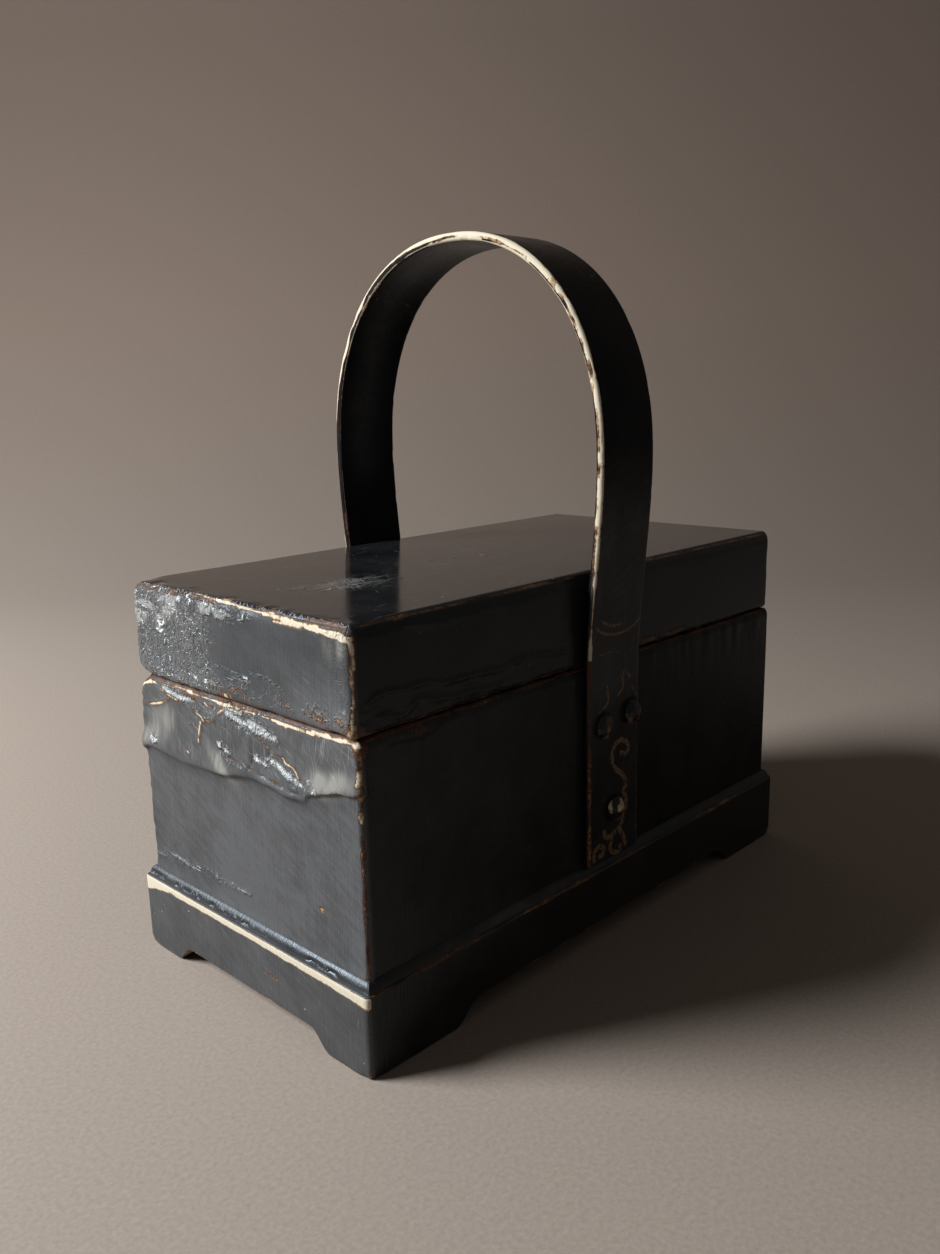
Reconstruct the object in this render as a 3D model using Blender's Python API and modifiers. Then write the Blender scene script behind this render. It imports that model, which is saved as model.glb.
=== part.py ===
"""A lacquered wooden box with a lift-off lid, a bracket-foot plinth and a bent carrying handle.

Lengths are in metres. X runs along the box, Y across it and Z up. The origin is the middle of
the rectangle on the floor that the feet stand in. The handle's arch stands across the box, in
the YZ plane, and the front of the box is its long side at -Y.
"""
import math

import bmesh
import bpy
from mathutils import Matrix, Vector

# The gap that touching pieces keep.
GAP = 0.0003

# The plinth: a frame of four boards with a bead along its top.
PLINTH_LENGTH = 0.3000
PLINTH_WIDTH = 0.1576
PLINTH_HEIGHT = 0.0346
PLINTH_CORNER_RADIUS = 0.0030
PLINTH_EDGE_RADIUS = 0.0012
LEDGE_END = 0.0043
LEDGE_SIDE = 0.0037
SEAT_WIDTH = 0.0085
BEAD_WIDTH = 0.0029
BEAD_HEIGHT = 0.0040
BEAD_RADIUS = 0.0027
SIDE_FOOT = 0.0450
SIDE_SWEEP = 0.0140
SIDE_CLEARANCE = 0.0088
END_FOOT = 0.0240
END_SWEEP = 0.0120
END_CLEARANCE = 0.0080

# The box: walls, floor and the tongue that keeps the lid in place.
BODY_HEIGHT = 0.0963
WALL = 0.0090
FLOOR = 0.0080
BODY_CORNER_RADIUS = 0.0020
RIM_RADIUS = 0.0030
TONGUE_THICKNESS = 0.0042
TONGUE_HEIGHT = 0.0055

# The lid: a cap whose walls are rebated over the tongue.
LID_HEIGHT = 0.0414
LID_OVERHANG_END = 0.0006
LID_SETBACK_SIDE = 0.0012
LID_TOP = 0.0090
LID_CORNER_RADIUS = 0.0035
LID_TOP_RADIUS = 0.0030
LID_FOOT_RADIUS = 0.0022
LID_CLEARANCE = 0.0004

# The handle: one flat strip, bent to an arch.
STRIP_WIDTH = 0.0372
STRIP_THICKNESS = 0.0040
STRIP_EDGE_RADIUS = 0.0008
LEAN_BELOW_RIM = 0.0040
LEG_LEAN = 0.0062
SPRING_ABOVE_LID = 0.0475
ARCH_RISE = 0.0960
ARCH_SQUARENESS = 2.18
LEAN_STEPS = 10
ARCH_STEPS = 48

# The nails: each one's place on the leg as (along X, down from the rim).
NAIL_HEAD_RADIUS = 0.0058
NAIL_HEAD_HEIGHT = 0.0038
NAIL_SHANK_RADIUS = 0.0012
NAIL_BITE = 0.0055
NAIL_CLEARANCE = 0.0003
NAIL_SIDES = 20
NAIL_PLACES = {
    "left": (-0.0094, 0.0273),
    "right": (0.0110, 0.0252),
    "low": (-0.0012, 0.0685),
}

# Sizes that follow from those above.
BODY_LENGTH = PLINTH_LENGTH - 2 * LEDGE_END
BODY_WIDTH = PLINTH_WIDTH - 2 * LEDGE_SIDE
BODY_BOTTOM = PLINTH_HEIGHT + GAP
RIM = BODY_BOTTOM + BODY_HEIGHT
LID_BOTTOM = RIM + GAP
LID_PEAK = LID_BOTTOM + LID_HEIGHT
LID_LENGTH = BODY_LENGTH + 2 * LID_OVERHANG_END
LID_WIDTH = BODY_WIDTH - 2 * LID_SETBACK_SIDE
STRIP_FOOT = PLINTH_HEIGHT + BEAD_HEIGHT + GAP
LEG_INNER = BODY_WIDTH / 2 + GAP

# How far a cutter reaches past what it cuts, and the flats in a rounded edge.
PAST = 0.0050
EDGE_STEPS = 4


def clear_scene():
    for old in list(bpy.data.objects):
        bpy.data.objects.remove(old, do_unlink=True)


def new_collection(name, hidden=False):
    collection = bpy.data.collections.new(name)
    bpy.context.scene.collection.children.link(collection)
    collection.hide_render = hidden
    return collection


def new_material(name, colour, roughness, metallic=0.0):
    material = bpy.data.materials.new(name)
    material.use_nodes = True
    shader = material.node_tree.nodes["Principled BSDF"]
    shader.inputs["Base Color"].default_value = (*colour, 1.0)
    shader.inputs["Roughness"].default_value = roughness
    shader.inputs["Metallic"].default_value = metallic
    return material


def add_object(name, bm, collection, material=None):
    mesh = bpy.data.meshes.new(name)
    bm.to_mesh(mesh)
    bm.free()
    thing = bpy.data.objects.new(name, mesh)
    collection.objects.link(thing)
    if material:
        mesh.materials.append(material)
    return thing


def as_cutter(thing):
    thing.hide_render = True
    thing.display_type = "WIRE"
    return thing


def block_mesh(size, foot):
    """An upright block of the given size whose underside is at the height foot."""
    bm = bmesh.new()
    bmesh.ops.create_cube(bm, size=1.0)
    bmesh.ops.scale(bm, vec=size, verts=bm.verts)
    bmesh.ops.translate(bm, vec=(0.0, 0.0, foot + size[2] / 2), verts=bm.verts)
    return bm


def plain_block(name, size, foot, collection):
    return as_cutter(add_object(name, block_mesh(size, foot), collection))


def rounded_block(name, size, foot, collection, material=None, upright=0.0, upper=0.0, lower=0.0):
    """A block whose upright, upper and lower edges each have a radius of their own."""
    bm = block_mesh(size, foot)
    largest = max(upright, upper, lower)
    weight = bm.edges.layers.float.new("bevel_weight_edge")
    middle = foot + size[2] / 2
    for edge in bm.edges:
        a, b = (vertex.co.z > middle for vertex in edge.verts)
        if a != b:
            radius = upright
        else:
            radius = upper if a else lower
        edge[weight] = radius / largest
    block = add_object(name, bm, collection, material)
    bevel = block.modifiers.new("rounded edges", "BEVEL")
    bevel.limit_method = "WEIGHT"
    bevel.offset_type = "OFFSET"
    bevel.width = largest
    bevel.segments = EDGE_STEPS
    return block


def shape(target, tool, operation="DIFFERENCE"):
    modifier = target.modifiers.new(tool.name, "BOOLEAN")
    modifier.operation = operation
    modifier.solver = "EXACT"
    modifier.object = tool


def make_body(parts, cutters, material):
    body = rounded_block(
        "box_body",
        (BODY_LENGTH, BODY_WIDTH, BODY_HEIGHT),
        BODY_BOTTOM,
        parts,
        material,
        upright=BODY_CORNER_RADIUS,
        upper=RIM_RADIUS,
    )
    inside = (BODY_LENGTH - 2 * WALL, BODY_WIDTH - 2 * WALL)
    tongue_size = (
        inside[0] + 2 * TONGUE_THICKNESS,
        inside[1] + 2 * TONGUE_THICKNESS,
        BODY_HEIGHT - FLOOR + TONGUE_HEIGHT,
    )
    tongue = plain_block("tongue", tongue_size, BODY_BOTTOM + FLOOR, cutters)
    shape(body, tongue, "UNION")
    hollow_size = (*inside, BODY_HEIGHT + TONGUE_HEIGHT + PAST)
    shape(body, plain_block("box hollow", hollow_size, BODY_BOTTOM + FLOOR, cutters))
    return body


def make_lid(parts, cutters, material):
    lid = rounded_block(
        "lid",
        (LID_LENGTH, LID_WIDTH, LID_HEIGHT),
        LID_BOTTOM,
        parts,
        material,
        upright=LID_CORNER_RADIUS,
        upper=LID_TOP_RADIUS,
        lower=LID_FOOT_RADIUS,
    )
    inside = (BODY_LENGTH - 2 * WALL, BODY_WIDTH - 2 * WALL)
    hollow_size = (*inside, LID_HEIGHT - LID_TOP + PAST)
    shape(lid, plain_block("lid hollow", hollow_size, LID_BOTTOM - PAST, cutters))
    rebate = TONGUE_THICKNESS + LID_CLEARANCE
    rebate_size = (
        inside[0] + 2 * rebate,
        inside[1] + 2 * rebate,
        TONGUE_HEIGHT + LID_CLEARANCE + PAST,
    )
    shape(lid, plain_block("lid rebate", rebate_size, LID_BOTTOM - PAST, cutters))
    return lid


def apron_outline(half_length, foot, sweep, clearance, steps=10):
    """The arch between two feet, as (along, up) points: an S-curve up from each foot."""
    toe = half_length - foot
    rise = []
    for step in range(steps + 1):
        share = step / steps
        rise.append((toe - sweep * share, clearance * (1 - math.cos(math.pi * share)) / 2))
    left = [(-along, up) for along, up in reversed(rise)]
    return [(toe, -PAST), *rise, *left, (-toe, -PAST)]


def prism(name, outline, depth, collection, turned):
    """A flat outline extruded both ways: across Y, or across X where it is turned."""
    curve = bpy.data.curves.new(name, "CURVE")
    curve.dimensions = "2D"
    curve.fill_mode = "BOTH"
    curve.extrude = depth / 2
    spline = curve.splines.new("POLY")
    spline.points.add(len(outline) - 1)
    for point, (along, up) in zip(spline.points, outline):
        point.co = (along, up, 0.0, 1.0)
    spline.use_cyclic_u = True
    guide = bpy.data.objects.new(name + " outline", curve)
    collection.objects.link(guide)
    bpy.context.view_layer.update()
    evaluated = guide.evaluated_get(bpy.context.evaluated_depsgraph_get())
    mesh = bpy.data.meshes.new_from_object(evaluated)
    bpy.data.objects.remove(guide, do_unlink=True)
    bm = bmesh.new()
    bm.from_mesh(mesh)
    bpy.data.meshes.remove(mesh)
    bmesh.ops.remove_doubles(bm, verts=bm.verts, dist=0.00001)
    upright = Matrix.Rotation(math.pi / 2, 4, "X")
    if turned:
        upright = Matrix.Rotation(math.pi / 2, 4, "Z") @ upright
    bmesh.ops.transform(bm, matrix=upright, verts=bm.verts)
    bmesh.ops.recalc_face_normals(bm, faces=bm.faces)
    return as_cutter(add_object(name, bm, collection))


def make_plinth(parts, cutters, material):
    plinth = rounded_block(
        "plinth",
        (PLINTH_LENGTH, PLINTH_WIDTH, PLINTH_HEIGHT),
        0.0,
        parts,
        material,
        upright=PLINTH_CORNER_RADIUS,
        upper=PLINTH_EDGE_RADIUS,
    )
    recess = (BODY_LENGTH + 2 * GAP, BODY_WIDTH + 2 * GAP)
    bead_foot = PLINTH_HEIGHT / 2
    bead = rounded_block(
        "bead",
        (
            recess[0] + 2 * BEAD_WIDTH,
            recess[1] + 2 * BEAD_WIDTH,
            PLINTH_HEIGHT + BEAD_HEIGHT - bead_foot,
        ),
        bead_foot,
        cutters,
        upright=BEAD_WIDTH,
        upper=BEAD_RADIUS,
    )
    shape(plinth, as_cutter(bead), "UNION")
    recess_size = (*recess, BEAD_HEIGHT + PAST)
    shape(plinth, plain_block("body recess", recess_size, PLINTH_HEIGHT, cutters))
    opening_size = (
        BODY_LENGTH - 2 * SEAT_WIDTH,
        BODY_WIDTH - 2 * SEAT_WIDTH,
        PLINTH_HEIGHT + 2 * PAST,
    )
    shape(plinth, plain_block("plinth opening", opening_size, -PAST, cutters))
    side = apron_outline(PLINTH_LENGTH / 2, SIDE_FOOT, SIDE_SWEEP, SIDE_CLEARANCE)
    shape(plinth, prism("side arch", side, PLINTH_WIDTH + 2 * PAST, cutters, turned=False))
    end = apron_outline(PLINTH_WIDTH / 2, END_FOOT, END_SWEEP, END_CLEARANCE)
    shape(plinth, prism("end arch", end, PLINTH_LENGTH + 2 * PAST, cutters, turned=True))
    return plinth


def smooth(share):
    return share * share * (3 - 2 * share)


def handle_path():
    """Half of the strip's middle line, as (across, up) points from its foot to its top."""
    leg = LEG_INNER + STRIP_THICKNESS / 2
    lean_start = RIM - LEAN_BELOW_RIM
    spring = LID_PEAK + SPRING_ABOVE_LID
    spread = leg + LEG_LEAN
    points = [(leg, STRIP_FOOT), (leg, (STRIP_FOOT + lean_start) / 2)]
    for step in range(LEAN_STEPS):
        share = step / LEAN_STEPS
        points.append((leg + LEG_LEAN * smooth(share), lean_start + (spring - lean_start) * share))
    power = 2 / ARCH_SQUARENESS
    half = ARCH_STEPS // 2
    for step in range(half):
        angle = math.pi / 2 * step / half
        points.append((spread * math.cos(angle) ** power, spring + ARCH_RISE * math.sin(angle) ** power))
    points.append((0.0, spring + ARCH_RISE))
    return points


def make_handle(parts, material):
    half = handle_path()
    path = [(-across, up) for across, up in half] + list(reversed(half[:-1]))
    bm = bmesh.new()
    left_edge = [bm.verts.new((-STRIP_WIDTH / 2, across, up)) for across, up in path]
    edges = [bm.edges.new(pair) for pair in zip(left_edge, left_edge[1:])]
    made = bmesh.ops.extrude_edge_only(bm, edges=edges)
    moved = [item for item in made["geom"] if isinstance(item, bmesh.types.BMVert)]
    bmesh.ops.translate(bm, vec=(STRIP_WIDTH, 0.0, 0.0), verts=moved)
    handle = add_object("handle", bm, parts, material)
    solidify = handle.modifiers.new("strip thickness", "SOLIDIFY")
    solidify.thickness = STRIP_THICKNESS
    solidify.offset = 0.0
    solidify.use_even_offset = True
    bevel = handle.modifiers.new("eased edges", "BEVEL")
    bevel.limit_method = "ANGLE"
    bevel.angle_limit = math.radians(60)
    bevel.width = STRIP_EDGE_RADIUS
    bevel.segments = 2
    return handle


def nail_spots():
    """Each nail's name, its place on the leg and the side it is on: -1 front, +1 back."""
    for side_name, side in (("front", -1), ("back", 1)):
        for place_name, (along, down) in NAIL_PLACES.items():
            name = f"nail_{side_name}_{place_name}"
            yield name, (-side * along, RIM - down), side


def nail_mesh():
    """A domed head on a shank with a short point, turned about Z."""
    dome_steps = 6
    profile = []
    for step in range(dome_steps + 1):
        angle = math.pi / 2 * step / dome_steps
        profile.append((NAIL_HEAD_RADIUS * math.sin(angle), NAIL_HEAD_HEIGHT * math.cos(angle)))
    shank_end = -(GAP + STRIP_THICKNESS + GAP + NAIL_BITE)
    point_start = shank_end + 2 * NAIL_SHANK_RADIUS
    profile += [
        (NAIL_SHANK_RADIUS, 0.0),
        (NAIL_SHANK_RADIUS, point_start),
        (0.0, shank_end),
    ]
    mesh = bpy.data.meshes.new("nail")
    edges = [(index, index + 1) for index in range(len(profile) - 1)]
    mesh.from_pydata([(radius, 0.0, height) for radius, height in profile], edges, [])
    return mesh


def make_nails(parts, material):
    mesh = nail_mesh()
    mesh.materials.append(material)
    face = LEG_INNER + STRIP_THICKNESS + GAP
    for name, (along, up), side in nail_spots():
        nail = bpy.data.objects.new(name, mesh)
        parts.objects.link(nail)
        nail.location = (along, side * face, up)
        nail.rotation_euler = (-side * math.pi / 2, 0.0, 0.0)
        turned = nail.modifiers.new("turned", "SCREW")
        turned.axis = "Z"
        turned.steps = NAIL_SIDES
        turned.render_steps = NAIL_SIDES
        turned.use_merge_vertices = True
        turned.merge_threshold = 0.00001


def drill_nail_holes(handle, body, cutters):
    radius = NAIL_SHANK_RADIUS + NAIL_CLEARANCE
    outside = LEG_INNER + STRIP_THICKNESS + PAST
    deepest = BODY_WIDTH / 2 - NAIL_BITE - NAIL_CLEARANCE
    for name, (along, up), side in nail_spots():
        bm = bmesh.new()
        bmesh.ops.create_cone(
            bm,
            cap_ends=True,
            segments=NAIL_SIDES,
            radius1=radius,
            radius2=radius,
            depth=outside - deepest,
        )
        bmesh.ops.rotate(bm, matrix=Matrix.Rotation(math.pi / 2, 3, "X"), verts=bm.verts)
        middle = Vector((along, side * (outside + deepest) / 2, up))
        bmesh.ops.translate(bm, vec=middle, verts=bm.verts)
        hole = as_cutter(add_object(name + " hole", bm, cutters))
        shape(handle, hole)
        shape(body, hole)


def main():
    clear_scene()
    parts = new_collection("box_with_handle")
    cutters = new_collection("cutters", hidden=True)
    lacquer = new_material("black lacquer", (0.012, 0.012, 0.013), 0.28)
    plinth_lacquer = new_material("plinth lacquer", (0.020, 0.021, 0.023), 0.42)
    strip_lacquer = new_material("handle lacquer", (0.010, 0.010, 0.011), 0.22)
    iron = new_material("dark iron", (0.030, 0.026, 0.024), 0.45, 0.8)
    body = make_body(parts, cutters, lacquer)
    make_lid(parts, cutters, lacquer)
    make_plinth(parts, cutters, plinth_lacquer)
    handle = make_handle(parts, strip_lacquer)
    drill_nail_holes(handle, body, cutters)
    make_nails(parts, iron)


main()
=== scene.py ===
"""The looks of an old black-lacquered wooden box with a lift-off lid, a bracket-foot plinth and
an arched strip handle. The frame gives every piece its place. Lengths on the pieces and the paper
are in millimetres, which mesh_piece turns into metres. Cameras, lamps and shaders use metres."""

import math
from itertools import product

import bpy
import numpy as np
from mathutils import Matrix, Vector


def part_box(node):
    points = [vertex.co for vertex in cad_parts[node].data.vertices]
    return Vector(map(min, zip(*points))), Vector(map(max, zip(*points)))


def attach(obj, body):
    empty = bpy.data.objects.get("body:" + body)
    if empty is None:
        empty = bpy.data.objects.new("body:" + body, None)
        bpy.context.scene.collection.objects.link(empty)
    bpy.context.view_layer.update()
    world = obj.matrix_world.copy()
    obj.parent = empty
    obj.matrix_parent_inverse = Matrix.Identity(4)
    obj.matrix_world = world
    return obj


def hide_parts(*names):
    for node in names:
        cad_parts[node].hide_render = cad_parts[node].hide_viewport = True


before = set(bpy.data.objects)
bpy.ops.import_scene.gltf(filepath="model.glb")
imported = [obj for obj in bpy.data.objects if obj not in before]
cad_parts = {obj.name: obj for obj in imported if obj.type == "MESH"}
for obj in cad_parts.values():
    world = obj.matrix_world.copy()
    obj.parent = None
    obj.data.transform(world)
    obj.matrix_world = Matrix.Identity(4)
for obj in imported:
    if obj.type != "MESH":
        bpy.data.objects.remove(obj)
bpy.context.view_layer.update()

MM = 0.001

# The camera: where the photograph was taken from, found from the box's corners.
# The picture is upright, 940 by 1254, and very slightly rolled.
CAMERA_PLACE = Vector((-0.3703, -0.3482, 0.2515))
CAMERA_AZIMUTH, CAMERA_ELEVATION, CAMERA_ROLL = (math.radians(v) for v in (-45.96, 12.79, -1.33))
PICTURE_HEIGHT, FOCAL_PIXELS = 1254, 1057.4
camera_back = Vector((
    math.sin(CAMERA_AZIMUTH) * math.cos(CAMERA_ELEVATION),
    -math.cos(CAMERA_AZIMUTH) * math.cos(CAMERA_ELEVATION),
    math.sin(CAMERA_ELEVATION),
))
level_right = (-camera_back).cross(Vector((0, 0, 1))).normalized()
level_up = level_right.cross(-camera_back)
camera_right = math.cos(CAMERA_ROLL) * level_right + math.sin(CAMERA_ROLL) * level_up
camera_up = camera_back.cross(camera_right)
camera = bpy.data.objects.new("camera", bpy.data.cameras.new("camera"))
camera.data.sensor_width = 36.0
camera.data.lens = FOCAL_PIXELS * camera.data.sensor_width / PICTURE_HEIGHT
camera.matrix_world = Matrix((camera_right, camera_up, camera_back)).transposed().to_4x4()
camera.location = CAMERA_PLACE
bpy.context.scene.collection.objects.link(camera)
bpy.context.scene.camera = camera

# The studio: a pale warm-grey sheet of paper that runs under the box and curves up behind it.
# One soft lamp stands low to the left and a little behind, and the room gives a dim fill.
FLOOR_REACH, FLOOR_NEAR, COVE_BACK, COVE_RADIUS, WALL_HEIGHT = 3000, 1000, 800, 1600, 3000
FLOOR_TONE, WALL_TONE = (0.252, 0.211, 0.179), (0.258, 0.200, 0.165)
LAMP_BEARING, LAMP_ELEVATION = math.radians(144), math.radians(31.5)
LAMP_DISTANCE, LAMP_RADIUS, LAMP_POWER, LAMP_TONE = 1.50, 0.32, 196.0, (0.97, 0.99, 1.0)
LAMP_AIM = Vector((0, 0, 0.1))
ROOM_TONE, ROOM_STRENGTH = (1.0, 0.89, 0.79, 1), 0.100


def mesh_piece(name, points, quads, caps=(), sharp=math.radians(40)):
    """A mesh from an array of points, an array of four-cornered faces and the flat faces that
    close its ends, each a row of point numbers."""
    mesh = bpy.data.meshes.new(name)
    mesh.vertices.add(len(points))
    mesh.vertices.foreach_set("co", np.asarray(points * MM, np.float32).ravel())
    corners = np.concatenate([quads.ravel(), *caps])
    sizes = np.concatenate([np.full(len(quads), 4), [len(cap) for cap in caps]])
    mesh.loops.add(len(corners))
    mesh.loops.foreach_set("vertex_index", corners.astype(np.int32))
    mesh.polygons.add(len(sizes))
    starts = np.concatenate([[0], np.cumsum(sizes)[:-1]])
    mesh.polygons.foreach_set("loop_start", starts.astype(np.int32))
    mesh.update(calc_edges=True)
    mesh.shade_smooth()
    mesh.set_sharp_from_angle(angle=sharp)
    piece = bpy.data.objects.new(name, mesh)
    bpy.context.scene.collection.objects.link(piece)
    return piece


def strip_quads(rows, columns, row_loop=False, column_loop=False):
    """The faces between neighbouring rows of a grid of points, with either way closed to a loop."""
    i = np.arange(rows if row_loop else rows - 1)[:, None]
    j = np.arange(columns if column_loop else columns - 1)[None, :]
    i2, j2 = (i + 1) % rows, (j + 1) % columns
    corners = (i * columns + j, i2 * columns + j, i2 * columns + j2, i * columns + j2)
    return np.stack(corners, -1).reshape(-1, 4)


def add(tree, kind, **settings):
    """Add a node. A setting named for an input is its value or the socket that feeds it;
    numbered inputs are written as in0, in1; anything else is a property of the node."""
    node = tree.nodes.new("ShaderNode" + kind)
    for key, value in settings.items():
        if key.startswith("in") and key[2:].isdigit():
            target = node.inputs[int(key[2:])]
        elif key.replace("_", " ") in node.inputs:
            target = node.inputs[key.replace("_", " ")]
        else:
            setattr(node, key, value)
            continue
        if isinstance(value, bpy.types.NodeSocket):
            tree.links.new(value, target)
        else:
            target.default_value = (*value, 1) if target.type == "RGBA" else value
    return node


def first(tree, kind, **settings):
    """Add a node and give its first output."""
    return add(tree, kind, **settings).outputs[0]


def blend(tree, share, start, end):
    """The start colour where the share is 0, the end colour where it is 1."""
    return add(tree, "Mix", data_type="RGBA", in0=share, in6=start, in7=end).outputs[2]


def new_material(name):
    """A material with an empty tree. Gives it, the tree and the place on the object."""
    material = bpy.data.materials.new(name)
    material.use_nodes = True
    tree = material.node_tree
    tree.nodes.clear()
    return material, tree, add(tree, "TexCoord").outputs["Object"]


def sweep_profile():
    """The paper's section from its near edge over the floor, round the cove and up the wall."""
    angles = np.linspace(0, math.pi / 2, 40)
    near = [(-FLOOR_REACH, 0.0), (-FLOOR_NEAR, 0.0), (0.0, 0.0)]
    bend = np.stack([
        COVE_BACK + COVE_RADIUS * np.sin(angles),
        COVE_RADIUS * (1 - np.cos(angles)),
    ], -1)
    return np.concatenate([near, bend, [(COVE_BACK + COVE_RADIUS, WALL_HEIGHT)]])


profile = sweep_profile()
away = -np.array([camera_back.x, camera_back.y]) / math.cos(CAMERA_ELEVATION)
across = np.array([away[1], -away[0]])
sideways = np.linspace(-FLOOR_REACH, FLOOR_REACH, 9)
paper_points = np.empty((len(profile), len(sideways), 3))
paper_points[..., :2] = profile[:, :1, None] * away + sideways[None, :, None] * across
paper_points[..., 2] = profile[:, 1:2]
paper_quads = strip_quads(len(profile), len(sideways))[:, ::-1]
paper = mesh_piece("paper", paper_points.reshape(-1, 3), paper_quads)
paper_finish, tree, place = new_material("paper")
speckle = first(tree, "TexNoise", Vector=place, Scale=520.0, Detail=3.0, Roughness=0.65)
height = add(tree, "SeparateXYZ", Vector=place).outputs["Z"]
plain = blend(tree, first(tree, "MapRange", Value=height, From_Max=0.4), FLOOR_TONE, WALL_TONE)
# Painted shade: the wall is darkened towards its top, where the lamp's light falls off.
shade = first(tree, "MapRange", Value=height, From_Min=0.42, From_Max=1.1, To_Min=1.02, To_Max=0.80)
grain = first(tree, "MapRange", Value=speckle, From_Min=0.25, From_Max=0.75, To_Min=0.86, To_Max=1.14)
share = first(tree, "Math", operation="MULTIPLY", in0=grain, in1=shade)
tone = first(tree, "VectorMath", operation="SCALE", in0=plain, Scale=share)
paper_shader = first(tree, "BsdfPrincipled", Base_Color=tone, Roughness=0.9)
add(tree, "OutputMaterial", Surface=paper_shader)
paper.data.materials.append(paper_finish)

lamp_way = Vector((
    math.cos(LAMP_BEARING) * math.cos(LAMP_ELEVATION),
    math.sin(LAMP_BEARING) * math.cos(LAMP_ELEVATION),
    math.sin(LAMP_ELEVATION),
))
lamp = bpy.data.objects.new("lamp", bpy.data.lights.new("lamp", "POINT"))
lamp.data.shadow_soft_size = LAMP_RADIUS
lamp.data.energy = LAMP_POWER
lamp.data.color = LAMP_TONE
lamp.location = lamp_way * LAMP_DISTANCE + LAMP_AIM
bpy.context.scene.collection.objects.link(lamp)
world = bpy.data.worlds.new("room")
world.use_nodes = True
world.node_tree.nodes["Background"].inputs["Color"].default_value = ROOM_TONE
world.node_tree.nodes["Background"].inputs["Strength"].default_value = ROOM_STRENGTH
bpy.context.scene.world = world
bpy.context.scene.view_settings.view_transform = "Standard"

# The plinth: four boards mitred to a frame, cut to bracket feet, with a bead along the top.
# Black lacquer over pale wood, rubbed through to the wood along the top edge of the lit end.
PLINTH_RADIUS, PLINTH_EDGE, PLINTH_TOP = 2.2, 1.0, 34.6
LEDGE_END, LEDGE_SIDE, BEAD_WIDTH, SEAT_WIDTH = 4.3, 3.7, 2.9, 8.5
SIDE_FOOT, SIDE_SWEEP, SIDE_CLEARANCE = 45.0, 14.0, 8.8
END_FOOT, END_SWEEP, END_CLEARANCE = 24.0, 12.0, 8.0
BAND_LOW = ((-77, 29.6), (-64, 30.6), (0, 31.2), (55, 30.8), (67, 29.6), (79, 27.2))
PLINTH_SCUFF = ((-12.7, 20.6), (-22, 19.8))
UNDERCOAT, UNDERCOAT_LIGHT = (0.050, 0.025, 0.015), (0.11, 0.055, 0.033)
TAN_WOOD, PALE_WOOD = (0.24, 0.152, 0.083), (0.50, 0.45, 0.35)
# FILM_AND_SHEEN_TONE is a grey wiped coat, laid on lit faces as painted sheen; PAINTED_GLOW_TONE is the
# colour of painted soft highlights.
FILM_AND_SHEEN_TONE, PAINTED_GLOW_TONE, SCRATCH_TONE = (0.076, 0.078, 0.082), (0.33, 0.32, 0.285), (0.42, 0.43, 0.42)
COOL_TINT = (0.76, 0.88, 1.0)
MARKS = ("worn", "frost", "gloss", "scuff", "film", "satin")
SOCKET_KINDS = {"Place": "Vector", "Face": "Vector", "Lacquer": "Color", "Color": "Color"}


def noise(points, size, seed=0):
    """Smooth noise from -1 to 1: random numbers on a lattice with cells of the given size,
    blended inside each cell by smoothsteps."""
    where = points / size + seed * 7.31
    cell = np.floor(where).astype(np.int64)
    part = where - cell
    part = part * part * (3 - 2 * part)
    total = np.zeros(points.shape[:-1])
    for corner in product((0, 1), repeat=3):
        at = cell + np.array(corner)
        mixed = (at[..., 0] * 73856093) ^ (at[..., 1] * 19349663) ^ (at[..., 2] * 83492791)
        mixed = (mixed ^ (mixed >> 13)) * 1274126177
        value = ((mixed >> 8) & 0xFFFF) / 32767.5 - 1
        share = np.where(np.array(corner) == 1, part, 1 - part).prod(-1)
        total += share * value
    return total


def layered(points, size, layers=3, seed=0):
    """Noise added up in layers, each half as large and half as strong as the one before."""
    total = sum(noise(points, size / 2**n, seed + n) / 2**n for n in range(layers))
    return total / (2 - 0.5 ** (layers - 1))


def ridged(points, size, layers=2, seed=0):
    """Layered noise folded where it crosses 0, so that it runs in curling ridges 1 high."""
    folds = (1 - 2.2 * np.abs(noise(points, size / 2**n, seed + n)) for n in range(layers))
    return sum(fold / 2**n for n, fold in enumerate(folds)) / (2 - 0.5 ** (layers - 1))


def soft(value, low, high):
    """A smoothstep: 0 below low, 1 above high."""
    share = np.clip((value - low) / (high - low), 0, 1)
    return share * share * (3 - 2 * share)


def bump(value, centre, width):
    """A bell: 1 at the centre, about a third of that at the width."""
    return np.exp(-((value - centre) / width) ** 2)


def beyond(gap, start):
    """The gap from where it passes the start, and 0 before."""
    return np.maximum(gap - start, 0)


def most(*values):
    """The largest of several marks at each point."""
    return np.maximum.reduce(values)


def follow(value, table):
    """Read a table of (place, height) rows, straight from row to row."""
    return np.interp(value, *np.transpose(table))


def smooth_line(points, steps=6):
    """A smooth curve through the points, by four-point (Catmull-Rom) blending."""
    p = np.asarray(points, float)
    p = np.concatenate([[2 * p[0] - p[1]], p, [2 * p[-1] - p[-2]]])
    t = np.linspace(0, 1, steps, endpoint=False)[None, :, None]
    a, b, c, d = (p[n:len(p) - 3 + n, None, :] for n in range(4))
    bend, twist = 2 * a - 5 * b + 4 * c - d, 3 * b - a - 3 * c + d
    line = 0.5 * (2 * b + (c - a) * t + bend * t**2 + twist * t**3)
    return np.concatenate([line.reshape(-1, p.shape[1]), p[-2:-1]])


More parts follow.
